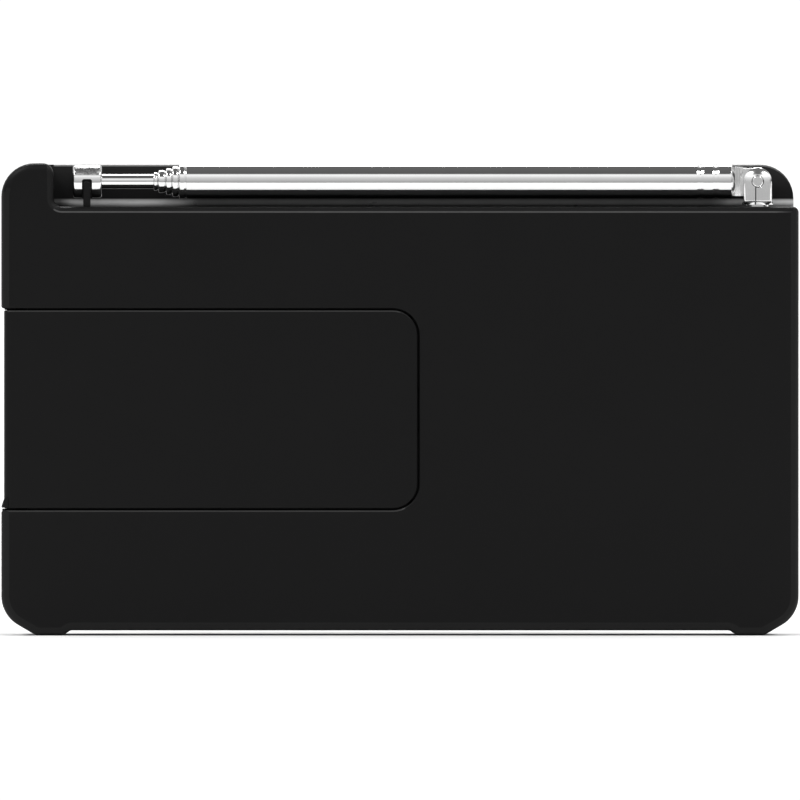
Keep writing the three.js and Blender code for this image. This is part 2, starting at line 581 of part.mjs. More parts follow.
// ---------------------------------------------------------------- loudspeaker, drawn about its own axis
function grille() {
  const [spacing, holeRadius, rings] = [6.4, 2.1, 3];
  const disc = new THREE.Shape(ring(SPEAKER.grille, 36));
  for (let row = -rings; row <= rings; row += 1) {
    const count = 2 * rings + 1 - Math.abs(row);
    for (let i = 0; i < count; i += 1) {
      const [x, z] = [(i - (count - 1) / 2) * spacing, row * spacing * Math.sin(Math.PI / 3)];
      disc.holes.push(new THREE.Path(ring(holeRadius, 6).map((p) => new THREE.Vector2(p.x + x, p.y + z))));
    }
  }
  return prism(disc, FRONT_Y, FRONT_Y + RECESS - GAP);
}

function speakerFrame() {
  const y = FRONT_Y + FRONT_WALL + GAP;
  let frame = turned('y', {}, [[21.5, y], [25, y], [25, y + 0.8], [23.3, y + 0.8], [14, y + 8.95],
    [6, y + 8.95], [6, y + 8.35], [13.6, y + 8.35], [22.2, y + 0.9], [21.5, y + 0.6], [21.5, y]], 30);
  for (let i = 0; i < 6; i += 1) {
    const opening = new THREE.BoxGeometry(6, 4.4, 8).translate(18.5, y + 5, 0);
    frame = frame.subtract(solid(opening.rotateY((i + 0.5) * Math.PI / 3)));
  }
  return frame.add(block(17.8, 22.5, y + 4.7, y + 5.7, -3, 3));
}

function speakerParts() {
  const magnet = turned('y', {}, [[0, -0.7], [11, -0.7], [11, 0.5], [13.5, 0.5], [13.5, 4.1], [11.5, 4.1],
    [11.5, 5.3], [0, 5.3]], 24);
  const cone = turned('y', {}, [[20.9, -9.9], [21, -9.5], [5.6, -3.4], [5.6, -1.6], [5.2, -1.6], [5.2, -3.9],
    [20.9, -9.9]], 28);
  const dustCap = turned('y', {}, [[0, -6.6], [3.4, -6.2], [5.4, -5.5], [6.2, -4.9], [6.2, -4.7],
    [0, -4.7]], 20);
  return group([SPEAKER.x, 0, SPEAKER.z], [
    piece('speaker_grille', grille(), grilleSteel),
    piece('speaker_frame', speakerFrame(), steel),
    piece('speaker_magnet', magnet, ferrite),
    piece('speaker_cone', cone, conePaper),
    piece('speaker_dust_cap', dustCap, conePaper),
  ]);
}

// ---------------------------------------------------------------- controls
function flutedDisc(radius, flutes, backY, frontY) {
  const outline = new THREE.Shape(ring(radius, 2 * flutes).map((point, i) => {
    return i % 2 ? point.multiplyScalar(1 - 0.35 / radius) : point;
  }));
  return roundedPrism(outline, backY, frontY, 0.5, { steps: 2 });
}

function tuningParts() {
  const frontY = -REAR_Y;
  const plateY = FRONT_Y + RECESS - GAP;
  const backY = plateY - 0.5 - GAP;
  const capacitorFrontY = FRONT_Y + FRONT_WALL + 1.05;
  const knob = flutedDisc(DIAL.knob, DIAL.flutes, backY, frontY)
    .subtract(cylinder('y', {}, 3.3, frontY + 1.25, backY + 1, 20))
    .subtract(cylinder('y', {}, DIAL.inlay + GAP, frontY - 1, frontY + 0.7, 40));
  const dial = cylinder('y', {}, DIAL.radius, plateY - 0.5, plateY, 40)
    .subtract(cylinder('y', {}, DIAL.hole, plateY - 1, plateY + 1, 20));
  const half = 7.5;
  const capacitor = block(-half, half, capacitorFrontY, BOARD.frontY - GAP, -half, half);
  return group([DIAL.x, 0, DIAL.z], [
    piece('dial_plate', dial, dialPlastic),
    piece('tuning_knob', knob, knobPlastic),
    piece('tuning_knob_inlay', cylinder('y', {}, DIAL.inlay, frontY + 0.1, frontY + 0.4, 40), aluminium),
    piece('tuning_shaft', cylinder('y', {}, 3, frontY + 1.55, capacitorFrontY - GAP, 20), whiteNylon),
    piece('tuning_capacitor', capacitor, whiteNylon),
  ]);
}

function volumeParts() {
  const [frontY, backY] = [FRONT_Y - 3.9, FRONT_Y - GAP];
  const bodyY = -7;
  const knob = flutedDisc(VOLUME.knob, VOLUME.flutes, backY, frontY)
    .subtract(cylinder('y', {}, 2.3, frontY + 1.15, backY + 1, 16));
  return group([VOLUME.x, 0, VOLUME.z], [
    piece('volume_knob', knob, knobPlastic),
    piece('volume_shaft', cylinder('y', {}, 2, frontY + 1.45, bodyY - GAP, 16), aluminium),
    piece('volume_potentiometer', block(-5, 5, bodyY, BOARD.frontY - GAP, -5, 5), steel),
  ]);
}

function bandSwitchParts() {
  const bodyY = -6.85;
  const cap = block(-2.5, 2.5, FRONT_Y - 0.75, FRONT_Y + 0.5, -2, 2)
    .add(block(-1.3, 1.3, FRONT_Y, bodyY - GAP, -1.1, 1.1));
  const start = -BAND.travel / 2;
  return group([BAND.x, 0, BAND.z], [
    piece('band_switch_cap', cap, knobPlastic, [start, 0, 0]),
    piece('band_switch_body', block(-6, 6, bodyY, BOARD.frontY - GAP, -2.5, 2.5), steel),
  ]);
}

// ---------------------------------------------------------------- electronics
function mainBoard() {
  const { x0, x1, z0, z1, frontY, rearY } = BOARD;
  let board = prism(roundedRectangle(x0, x1, z0, z1, BOARD.corner), frontY, rearY);
  const holeRadius = SCREW.bossRadius + 0.4;
  for (const x of SCREW.at) {
    board = board.subtract(cylinder('y', { x, z: SCREW.z }, holeRadius, frontY - 1, rearY + 1, 16));
  }
  return board;
}

function ferriteParts() {
  const rodY = 5;
  const clip = block(0, 3, BOARD.rearY + GAP, rodY + 1.5, -4.8, 4.8)
    .subtract(cylinder('x', { y: rodY }, 4.3, -1, 4, 20));
  const coil = turned('x', {}, [[4.3, 0], [5, 0], [5, 14], [4.3, 14], [4.3, 0]], 20);
  return group([5, 0, 57], [
    piece('ferrite_rod', cylinder('x', {}, 4, 0, 48, 20), ferrite, [0, rodY, 0]),
    piece('ferrite_coil', coil, copper, [15, rodY, 0]),
    piece('ferrite_clip_1', clip, whiteNylon, [4, 0, 0]),
    piece('ferrite_clip_2', clip, whiteNylon, [40, 0, 0]),
  ]);
}

function boardParts() {
  const backY = BOARD.rearY + GAP;
  const frontY = BOARD.frontY - GAP;
  const can = block(-3.5, 3.5, backY, backY + 7.5, -3.5, 3.5)
    .subtract(cylinder('y', {}, 1.7, backY + 6.9, backY + 8, 12));
  const capacitor = turned('y', {}, [[0, backY], [3, backY], [3, backY + 8.6], [2.6, backY + 9],
    [0, backY + 9]], 20);
  const chip = (width, height, thickness) =>
    block(-width / 2, width / 2, frontY - thickness, frontY, -height / 2, height / 2);
  const lowRow = 9.5;
  const row = (name, body, material, at) =>
    at.map((x, i) => piece(`${name}_${i + 1}`, body, material, [x, 0, lowRow]));
  return [
    piece('main_board', mainBoard(), boardLaminate),
    ...row('if_transformer', can, aluminium, [10, 20, 30]),
    ...row('electrolytic_capacitor', capacitor, blackResin, [40, 49]),
    piece('radio_chip', chip(8, 6, 2), blackResin, [12, 0, 26]),
    piece('amplifier_chip', chip(5, 6, 1.8), blackResin, [45, 0, 26]),
  ];
}

function ledBody() {
  const innerY = FRONT_Y + FRONT_WALL;
  const lens = turned('y', {}, [[0, FRONT_Y - 0.35], [0.9, FRONT_Y - 0.1], [1.4, FRONT_Y + 0.5],
    [LED.radius, FRONT_Y + 1.1], [LED.radius, innerY + 0.4], [1.9, innerY + 0.4], [1.9, innerY + 1.2],
    [0, innerY + 1.2]], 16);
  return lens.add(block(-0.9, 0.9, innerY + 1, BOARD.frontY - GAP, -0.25, 0.25));
}

function headphoneJack() {
  const shellX = CASE_WIDTH / 2 - SIDE_STEP - WALL - 0.5;
  return block(shellX - 9.3, shellX, JACK.y - 2.8, BOARD.frontY - GAP, JACK.z - 3, JACK.z + 3)
    .add(cylinder('x', JACK, JACK.bush, shellX - 0.1, CASE_WIDTH / 2 - SIDE_STEP - 0.2, 20))
    .subtract(cylinder('x', JACK, JACK.bore, shellX - 8, CASE_WIDTH / 2, 20));
}

function wiring() {
  const speakerLead = (z) => lead([[-6.7, -4.7, z], [-4, -5.1, z - 2.2], [-1, -4.6, z - 5.2],
    [2, -3.9, z - 7.2], [5, -3.7, z - 7.8]], 14);
  const aerialLead = lead([[-47.8, 12.3, 61.9], [-44.5, 11.4, 60.6], [-36, 8.6, 58.9], [-22, 5.2, 59.6],
    [-8, 2.2, 62.2], [0, 0.2, 64], [4.4, -0.6, 64.4]], 20);
  return [
    piece('speaker_lead_1', speakerLead(37.6), leadInsulation),
    piece('speaker_lead_2', speakerLead(34.4), blackResin),
    piece('antenna_lead', aerialLead, blackResin),
  ];
}

// ---------------------------------------------------------------- the radio
const radio = new THREE.Group();
radio.add(
  ...caseParts(),
  ...batteryParts(),
  aerialParts(),
  speakerParts(),
  tuningParts(),
  volumeParts(),
  bandSwitchParts(),
  ferriteParts(),
  ...boardParts(),
  piece('power_led', ledBody(), ledLens, [LED.x, 0, LED.z]),
  piece('headphone_jack', headphoneJack(), blackResin),
  ...wiring(),
);

export default radio;
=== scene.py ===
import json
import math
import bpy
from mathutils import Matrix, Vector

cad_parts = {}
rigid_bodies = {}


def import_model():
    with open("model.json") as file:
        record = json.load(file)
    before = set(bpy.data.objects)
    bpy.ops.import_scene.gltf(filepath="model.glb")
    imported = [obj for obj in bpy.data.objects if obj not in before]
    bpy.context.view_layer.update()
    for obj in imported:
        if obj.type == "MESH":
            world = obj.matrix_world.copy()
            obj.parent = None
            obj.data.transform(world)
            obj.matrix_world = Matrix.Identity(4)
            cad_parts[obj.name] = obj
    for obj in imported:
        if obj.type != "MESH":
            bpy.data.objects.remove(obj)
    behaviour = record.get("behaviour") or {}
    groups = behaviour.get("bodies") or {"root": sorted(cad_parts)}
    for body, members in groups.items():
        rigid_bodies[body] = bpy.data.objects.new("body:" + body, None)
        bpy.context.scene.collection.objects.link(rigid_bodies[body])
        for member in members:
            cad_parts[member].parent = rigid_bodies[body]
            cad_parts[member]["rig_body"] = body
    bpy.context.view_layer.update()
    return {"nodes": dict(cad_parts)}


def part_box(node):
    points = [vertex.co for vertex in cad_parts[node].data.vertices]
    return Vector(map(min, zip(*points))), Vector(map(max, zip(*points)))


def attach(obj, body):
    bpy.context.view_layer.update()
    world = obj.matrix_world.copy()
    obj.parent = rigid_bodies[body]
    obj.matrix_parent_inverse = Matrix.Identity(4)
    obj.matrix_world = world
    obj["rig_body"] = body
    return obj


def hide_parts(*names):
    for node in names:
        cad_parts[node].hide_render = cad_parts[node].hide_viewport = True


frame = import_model()

# Looks of a pocket-sized tabletop radio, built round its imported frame. The frame is in metres, with +Z up
# and the radio's back towards +Y. Shapes are drawn in millimetres and become metres when a mesh is made.
# Cutters run a little past what they cut, and joined bodies a little (BITE) into each other.
from types import SimpleNamespace as Sizes

import bmesh
import bpy
from mathutils import Vector

MM = 0.001
CORNER_STEPS = 10
EDGE_STEPS = 6
SHARP_ANGLE = math.radians(32)
LEAST_RADIUS = 0.02
WELD_DISTANCE = 0.0005 * MM


def node_box(node):
    low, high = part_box(node)
    return low / MM, high / MM


def node_middle(node):
    low, high = node_box(node)
    return (low + high) / 2


# ------------ dimensions read from the frame
REAR_HIGH = node_box("rear_case")[1]
FRONT_LOW, FRONT_HIGH = node_box("front_case")
DOOR_LOW, DOOR_HIGH = node_box("battery_door")
TUBE_LOW, TUBE_HIGH = node_box("antenna_section_1")
PIN_LOW, PIN_HIGH = node_box("antenna_pivot_pin")
SPEAKER_LOW, SPEAKER_HIGH = node_box("speaker_grille")
DIAL_LOW, DIAL_HIGH = node_box("dial_plate")

GAP = 0.3
HALF_WIDTH = REAR_HIGH.x
TOP_Z = REAR_HIGH.z
REAR_Y = REAR_HIGH.y
FRONT_Y = FRONT_LOW.y
SIDE_STEP = REAR_HIGH.x - FRONT_HIGH.x
TOP_STEP = REAR_HIGH.z - FRONT_HIGH.z
SEAM_Y = FRONT_HIGH.y + GAP / 2
STEP_Y = DOOR_LOW.y - GAP
PIVOT = (PIN_LOW + PIN_HIGH) / 2
SPEAKER = (SPEAKER_LOW + SPEAKER_HIGH) / 2
DIAL = (DIAL_LOW + DIAL_HIGH) / 2

# ------------ dimensions of the mouldings
WALL = 1.8
FRONT_WALL = 2.0
BITE = 0.5
SKIN = 0.002
FAR = 2 * HALF_WIDTH
INSIDE_X = HALF_WIDTH - SIDE_STEP - WALL
CORNER_RADIUS = 5.0
LOWER_CORNER_Z = 5.9
REAR_EDGE = 1.2
FRONT_EDGE = 2.5
SEAM_EDGE = 0.15
BROW_EDGE = 0.36
CUT_EDGE = 0.25
SIDE_CUT_EDGE = 0.4
RECESS_EDGE = 0.3
HOLE_EDGE = 0.2

UNDERSIDE_Z = 0.75
FOOT_INNER_X = 50.3
FOOT_RAMP = 1.1
FOOT_SLOPE = math.radians(30)
FOOT_EDGE = 0.9

GROOVE_FLOOR_Z = 64.0
GROOVE_END_X = 51.74
GROOVE_LIP = 0.91
GROOVE_MOUTH = 0.9
GROOVE_FILLET = 1.2
GROOVE_CORNER = 1.3
GROOVE_TOP_CORNER = 1.6
GROOVE_WALL = 1.6
POST = Sizes(x0=46.2, x1=47.27, depth0=1.15, depth1=2.85, top=67.75, corner=0.5, edge=0.15)

LIP = Sizes(reach=1.6, root=3, bite=0.3, inside=1.1)
TAB = Sizes(thickness=1.3, reach=3, root=6, z0=25, z1=45)
SILL = Sizes(gap=0.06, front=0.3, height=0.6)
BAY = Sizes(x0=-1.9, x1=55.7, z0=18.7, z1=48.8, depth=16.5, wall=1.2, ledge_wall=2.4)
BAY_END_X = INSIDE_X + 0.2
LEDGE = Sizes(height=1.0, depth0=1.9, depth1=3.1)
DOOR_THICKNESS = 1.6
DOOR_EDGE = 0.22
DOOR_X0 = -2.6
DOOR_Z0, DOOR_Z1 = DOOR_LOW.z, DOOR_HIGH.z
DOOR_CORNER = 3.7
HOOK = Sizes(stem0=1.3, stem1=1.9, foot=0.4, depth0=3.4, depth1=4.6, length=6, at=(6, 40))
LATCH = Sizes(x0=-4.6, x1=-1.1, depth0=2.1, depth1=3.1, z0=31, z1=36.5)

FLARE = Sizes(foot=0.1, bend=0.3, top=1.5, rounding=0.15, inset=0.02)
# A face belongs to the flat back if its normal points this far along y; no rounded edge's does.
FLAT = 0.9995

SCREW_X = (10, 45)
SCREW_Z = (BAY.z0 + BAY.z1) / 2
SCREW_HOLE, SCREW_BOSS = 1.3, 2.5
STUD_HOLE = 2.0
TAIL_SLOT = 1.3
SPEAKER_HOLE, SEAT_INSIDE, SEAT_OUTSIDE, SEAT_DEPTH = 23.2, 25.3, 26.5, 2
TUNING_HOLE, VOLUME_HOLE, LAMP_HOLE, JACK_HOLE = 4.0, 3.5, 1.8, 3.1
JACK_AXIS_DEPTH = 2.8
SWITCH_SLOT = {"half_width": 3.6, "half_height": 1.4, "radius": 0.4}
SWITCH_RECESS = {"half_width": 4.8, "half_height": 2.3, "radius": 0.6}
SWITCH_RECESS_DEPTH = 0.8


# ------------ outlines
def inset(corners, distance):
    """The outline's corners (u, v, radius) moved inwards, with their radii to match."""
    if not distance:
        return corners
    points = [Vector(corner[:2]) for corner in corners]
    area = sum(a.cross(b) for a, b in zip(points, points[1:] + points[:1]))
    turn = math.copysign(1, area)
    moved = []
    for i, point in enumerate(points):
        along_in = (point - points[i - 1]).normalized()
        along_out = (points[(i + 1) % len(points)] - point).normalized()
        normal_in = Vector((-along_in.y, along_in.x)) * turn
        normal_out = Vector((-along_out.y, along_out.x)) * turn
        shift = (normal_in + normal_out) * (distance / (1 + normal_in.dot(normal_out)))
        convex = along_in.cross(along_out) * turn > 0
        radius = corners[i][2]
        if radius:
            radius = max(radius - distance if convex else radius + distance, LEAST_RADIUS)
        moved.append((*(point + shift), radius))
    return moved


def rounded(corners, closed=True, steps=CORNER_STEPS):
    """Points of the outline whose corners (u, v, radius) are arcs of that radius."""
    points = []
    for i, (u, v, radius) in enumerate(corners):
        corner = Vector((u, v))
        if not radius or (not closed and i in (0, len(corners) - 1)):
            points.append(corner)
            continue
        back = (Vector(corners[i - 1][:2]) - corner).normalized()
        ahead = (Vector(corners[(i + 1) % len(corners)][:2]) - corner).normalized()
        half = back.angle(ahead) / 2
        centre = corner + (back + ahead).normalized() * (radius / math.sin(half))
        start = corner + back * (radius / math.tan(half)) - centre
        sweep = start.angle_signed(corner + ahead * (radius / math.tan(half)) - centre)
        first = math.atan2(start.y, start.x)
        for k in range(steps + 1):
            angle = first - sweep * k / steps
            points.append(centre + Vector((math.cos(angle), math.sin(angle))) * radius)
    return points


def rectangle(u0, u1, v0, v1, radius=0.0):
    return [(u0, v0, radius), (u1, v0, radius), (u1, v1, radius), (u0, v1, radius)]


def oblong(middle, half_width, half_height, radius):
    """A rectangle in x and z round the middle."""
    return rectangle(middle.x - half_width, middle.x + half_width,
                     middle.z - half_height, middle.z + half_height, radius)


def edge_layers(end, outward, radius):
    """(inset, place) of a prism's last layers: rounded off, or flared out if the radius is negative."""
    if not radius:
        return [(0.0, end)]
    size = abs(radius)
    layers = []
    for k in range(EDGE_STEPS + 1):
        angle = math.pi / 2 * k / EDGE_STEPS
        offset = math.copysign(size * (1 - math.cos(angle)), radius)
        layers.append((offset, end - outward * size * (1 - math.sin(angle))))
    if radius < 0:
        layers.append((radius, end + outward))
    return layers


# ------------ solids
def on_y(point):
    """A point's place on an axis along y."""
    return Vector((point.x, 0, point.z))


def place(axis, u, v, along):
    return {"x": (along, u, v), "y": (u, along, v), "z": (u, v, along)}[axis]


def new_object(name, data):
    made = bpy.data.objects.new(name, data)
    bpy.context.scene.collection.objects.link(made)
    return made


def solid(points, faces):
    mesh = bpy.data.meshes.new("solid")
    mesh.from_pydata([Vector(point) * MM for point in points], [], faces)
    shape = bmesh.new()
    shape.from_mesh(mesh)
    bmesh.ops.recalc_face_normals(shape, faces=shape.faces)
    shape.to_mesh(mesh)
    shape.free()
    return new_object("solid", mesh)


def loft(rings, endless=False):
    """The skin through rings of equally many points, capped at both ends or closed on itself."""
    count = len(rings[0])
    points = [point for ring in rings for point in ring]
    faces = []
    for i in range(len(rings) if endless else len(rings) - 1):
        a, b = i * count, (i + 1) % len(rings) * count
        faces += [(a + j, a + (j + 1) % count, b + (j + 1) % count, b + j) for j in range(count)]
    if not endless:
        faces.append(tuple(range(count)))
        faces.append(tuple(range(len(points) - count, len(points))))
    return solid(points, faces)


def prism(corners, start, end, axis="y", start_edge=0.0, end_edge=0.0):
    """A body with that outline along an axis, its end edges rounded, or flared if negative."""
    layers = edge_layers(start, -1, start_edge)[::-1] + edge_layers(end, 1, end_edge)
    rings = []
    for offset, along in layers:
        rings.append([place(axis, *point, along) for point in rounded(inset(corners, offset))])
    return loft(rings)


def block(x0, x1, y0, y1, z0, z1):
    return prism(rectangle(x0, x1, z0, z1), y0, y1)


def lathe(profile, axis="x", centre=(0, 0, 0), sides=64):
    """A turned body. Its profile (radius, along) starts and ends on the axis, or closes on itself."""
    on_axis = profile[0][0] == 0
    rings = []
    for radius, along in profile[1:-1] if on_axis else profile:
        angles = [2 * math.pi * j / sides for j in range(sides)]
        ring = [place(axis, radius * math.cos(a), radius * math.sin(a), along) for a in angles]
        rings.append([Vector(point) + Vector(centre) for point in ring])
    return loft(rings, endless=not on_axis)


def turned(corners, axis="x", centre=(0, 0, 0), sides=64, steps=EDGE_STEPS):
    """A turned body from profile corners (radius, along, rounding)."""
    on_axis = corners[0][0] == 0
    return lathe(rounded(corners, closed=not on_axis, steps=steps), axis, centre, sides)


def cylinder(axis, centre, radius, start, end, start_edge=0.0, end_edge=0.0, sides=48):
    layers = edge_layers(start, -1, start_edge)[::-1] + edge_layers(end, 1, end_edge)
    rim = [(radius - offset, along) for offset, along in layers]
    return lathe([(0, rim[0][1]), *rim, (0, rim[-1][1])], axis, centre, sides)


def combine(base, operation, others):
    for other in others:
        modifier = base.modifiers.new("combine", "BOOLEAN")
        modifier.operation = operation
        modifier.solver = "MANIFOLD"
        modifier.object = other
    evaluated = base.evaluated_get(bpy.context.evaluated_depsgraph_get())
    mesh = bpy.data.meshes.new_from_object(evaluated)
    base.modifiers.clear()
    base.data = mesh
    for other in others:
        bpy.data.objects.remove(other)
    return base


def join(base, *others):
    return combine(base, "UNION", others)


def cut(base, *others):
    return combine(base, "DIFFERENCE", others)


def common(base, *others):
    return combine(base, "INTERSECT", others)


def merge(pieces):
    """Several separate bodies as one mesh."""
    shape = bmesh.new()
    for item in pieces:
        shape.from_mesh(item.data)
    shape.to_mesh(pieces[0].data)
    shape.free()
    for item in pieces[1:]:
        bpy.data.objects.remove(item)
    return pieces[0]


def smooth(item):
    """Merges stray points, shades the round faces smooth and keeps the flat ones flat."""
    shape = bmesh.new()
    shape.from_mesh(item.data)
    bmesh.ops.remove_doubles(shape, verts=shape.verts, dist=WELD_DISTANCE)
    bmesh.ops.dissolve_degenerate(shape, edges=shape.edges, dist=WELD_DISTANCE)
    shape.to_mesh(item.data)
    shape.free()
    item.data.shade_smooth()
    item.data.set_sharp_from_angle(angle=SHARP_ANGLE)
    modifier = item.modifiers.new("flat faces", "WEIGHTED_NORMAL")
    modifier.keep_sharp = True


def detail(item, name, body, slot, finish):
    """Finishes a shape: its name, its shading, its material and the body it rides on. Its slot is not used.
    """
    item.name = item.data.name = name
    smooth(item)
    item.data.materials.clear()
    item.data.materials.append(MATERIALS[finish])
    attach(item, body)
    return item


def piece(item, name, node, slot, finish):
    """Finishes a shape that stands for a CAD node."""
    detail(item, name, frame["nodes"][node]["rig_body"], slot, finish)
    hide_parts(node)
    return item


def paint(item, finish, test):
    """Gives another material to the faces whose centre and normal, in millimetres, pass the test."""
    item.data.materials.append(MATERIALS[finish])
    index = len(item.data.materials) - 1
    for face in item.data.polygons:
        if test(face.center / MM, face.normal):
            face.material_index = index


# ------------ materials
# Grains and bump depths are in metres, as the nodes take them. Other sizes are in millimetres.
SPARK_GRAIN = 0.00035
KNURL_HEIGHT = 0.85
KNURL_FADE = 0.15
# The painted shadow under a part: how far in and out round its ends it fades, in millimetres, and the share
# of the tone it leaves.
PAINTED_SHADOW_FADE = Sizes(inside=3, outside=2.5, share=0.25)


class NodeTree:
    """A shader's node tree, with short ways to add to it."""

    def __init__(self, tree):
        self.tree = tree

    def node(self, kind, inputs=None, **settings):
        made = self.tree.nodes.new(kind)
        for key, value in settings.items():
            setattr(made, key, value)
        for key, value in (inputs or {}).items():
            if isinstance(value, bpy.types.NodeSocket):
                self.tree.links.new(value, made.inputs[key])
            else:
                made.inputs[key].default_value = value
        return made

    def ramp(self, factor, stops):
        """Colours (place, (r, g, b)) along a factor."""
        made = self.node("ShaderNodeValToRGB", {"Fac": factor})
        elements = made.color_ramp.elements
        while len(elements) < len(stops):
            elements.new(0.5)
        for element, (at, colour) in zip(elements, stops):
            element.position = at
            element.color = (*colour, 1)
        return made.outputs["Color"]

    def range(self, value, low, high, source=(0.3, 0.7), **settings):
        inputs = {"Value": value, "To Min": low, "To Max": high}
        inputs["From Min"], inputs["From Max"] = source
        return self.node("ShaderNodeMapRange", inputs, **settings).outputs["Result"]

    def math(self, operation, a, b=0.0):
        return self.node("ShaderNodeMath", {0: a, 1: b}, operation=operation).outputs["Value"]

    def vector(self, operation, a, b=(0, 0, 0)):
        return self.node("ShaderNodeVectorMath", {0: a, 1: b}, operation=operation)

    def mix(self, share, a, b):
        inputs = {"Factor": share, "A": a, "B": b}
        return self.node("ShaderNodeMix", inputs, data_type="RGBA").outputs["Result"]


class Shading(NodeTree):
    """A material, whose colour, roughness and bump come from its nodes."""

    def __init__(self, **constants):
        self.material = bpy.data.materials.new("finish")
        self.material.use_nodes = True
        super().__init__(self.material.node_tree)
        self.shader = self.tree.nodes["Principled BSDF"]
        for socket, value in constants.items():
            self.shader.inputs[socket.replace("_", " ")].default_value = value
        self.place = self.node("ShaderNodeTexCoord").outputs["Object"]

    def stretched(self, scale):
        return self.node("ShaderNodeMapping", {"Vector": self.place, "Scale": scale}).outputs["Vector"]

    def noise(self, size, detail=3.0, place=None):
        """Noise whose features are about size metres across."""
        inputs = {"Vector": place or self.place, "Scale": 1 / size, "Detail": detail, "Roughness": 0.55}
        return self.node("ShaderNodeTexNoise", inputs).outputs["Fac"]

    def finish(self, colour, roughness=None, height=None, depth=0.0):
        """Wires up the colour, and the roughness and a bump of that depth where they are given."""
        sockets = {"Base Color": colour, "Roughness": roughness}
        if height:
            bump = self.node("ShaderNodeBump", {"Height": height, "Distance": depth, "Strength": 1.0})
            sockets["Normal"] = bump.outputs["Normal"]
        for socket, source in sockets.items():
            if source:
                self.tree.links.new(source, self.shader.inputs[socket])
        return self.material


def tint(colour, factor):
    return tuple(channel * factor for channel in colour)


def grey(value):
    return (value, value, value)


CASE_BLACK = (0.0052, 0.0052, 0.0053)
CHROME = grey(0.85)


def moulded_plastic(colour, roughness, depth=0.000004, specular=0.5):
    """Spark-eroded moulded plastic: a fine even grain with faint flow and handling marks."""
    made = Shading(Specular_IOR_Level=specular)
    fine = made.noise(SPARK_GRAIN, detail=2.0)
    broad = made.noise(0.018, detail=4.0)
    mixed = made.math("ADD", made.math("MULTIPLY", fine, 0.4), made.math("MULTIPLY", broad, 0.6))
    tones = made.ramp(mixed, [(0.3, tint(colour, 0.93)), (0.7, tint(colour, 1.08))])
    polish = made.range(made.noise(0.006, detail=5.0), roughness - 0.03, roughness + 0.04)
    return made.finish(tones, polish, fine, depth)


def polished_metal(colour, roughness, grain=(1, 1, 1), depth=0.0000004):
    """Plated or machined metal with faint marks, stretched as it was worked."""
    made = Shading(Metallic=1.0)
    marks = made.noise(0.0012, detail=5.0, place=made.stretched(grain))
    smudges = made.noise(0.007, detail=3.0)
    tones = made.ramp(smudges, [(0.35, tint(colour, 0.97)), (0.65, colour)])
    wear = made.math("MULTIPLY", marks, smudges)
    polish = made.range(wear, roughness * 0.8, roughness * 1.5, (0.1, 0.5))
    return made.finish(tones, polish, marks, depth)


def knurled_chrome(low_z):
    """Chrome with a fine knurl pressed into it above a height in millimetres, where its colour is also
    painted darker, speckled by the knurl's cells: a painted dark reflection.
    """
    made = Shading(Metallic=1.0)
    height = made.node("ShaderNodeSeparateXYZ", {"Vector": made.place}).outputs["Z"]
    upper = made.range(height, 0.0, 1.0, source=(low_z * MM, (low_z + KNURL_FADE) * MM))
    cells = made.node("ShaderNodeTexVoronoi", {"Vector": made.place, "Scale": 3600.0}).outputs["Distance"]
    knurl = made.math("MULTIPLY", cells, upper)
    # Painted dark reflection: above the height the chrome's colour is darkened, more at the centres of the
    # knurl's cells.
    painted_dark_band = made.math("MULTIPLY", upper, made.range(cells, 1.0, 0.35, source=(0.1, 0.7)))
    tones = made.ramp(painted_dark_band, [(0.0, CHROME), (1.0, grey(0.2))])
    return made.finish(tones, made.range(upper, 0.07, 0.25, source=(0.0, 1.0)), knurl, 0.00003)


def spun_metal(colour, centre, roughness):
    """A disc turned on a lathe: rings round a centre in the x-z plane."""
    made = Shading(Metallic=1.0)
    shift = made.vector("SUBTRACT", made.place, tuple(centre * MM)).outputs["Vector"]
    flat = made.vector("MULTIPLY", shift, (1, 0, 1)).outputs["Vector"]
    radius = made.vector("LENGTH", flat).outputs["Value"]
    inputs = {"W": radius, "Scale": 9000, "Detail": 3.0}
    rings = made.node("ShaderNodeTexNoise", inputs, noise_dimensions="1D").outputs["Fac"]
    tones = made.ramp(rings, [(0.3, tint(colour, 0.86)), (0.7, colour)])
    return made.finish(tones, made.range(rings, roughness - 0.05, roughness + 0.1), rings, 0.000003)


def rough_solid(colour, roughness, grain, depth, vary=0.15):
    """Paper, resin, ferrite, nylon or lead insulation: one colour with its own grain."""
    made = Shading()
    speckle = made.noise(grain, detail=4.0)
    tones = made.ramp(speckle, [(0.3, tint(colour, 1 - vary)), (0.7, tint(colour, 1 + vary))])
    polish = made.range(made.noise(grain * 6), roughness - 0.05, roughness + 0.08)
    return made.finish(tones, polish, speckle, depth)


def circuit_laminate():
    """Green solder resist over copper tracks, which show as a lighter, raised pattern."""
    made = Shading()
    tracks = made.node("ShaderNodeTexBrick", {
        "Vector": made.place, "Scale": 130.0, "Mortar Size": 0.06, "Color1": (1, 1, 1, 1),
        "Color2": (0.7, 0.7, 0.7, 1), "Mortar": (0, 0, 0, 1)}).outputs["Color"]
    greens = made.ramp(tracks, [(0.2, (0.012, 0.075, 0.03)), (0.8, (0.03, 0.16, 0.06))])
    return made.finish(greens, made.range(made.noise(0.004), 0.32, 0.45), tracks, 0.00002)


def wound_wire():
    """Fine enamelled wire wound side by side along x."""
    made = Shading(Metallic=0.85)
    inputs = {"Vector": made.place, "Scale": 1000.0, "Distortion": 0.2}
    turns = made.node("ShaderNodeTexWave", inputs, bands_direction="X").outputs["Fac"]
    tones = made.ramp(turns, [(0.1, (0.16, 0.05, 0.018)), (0.8, (0.62, 0.24, 0.09))])
    return made.finish(tones, made.range(made.noise(0.003), 0.28, 0.42), turns, 0.00008)


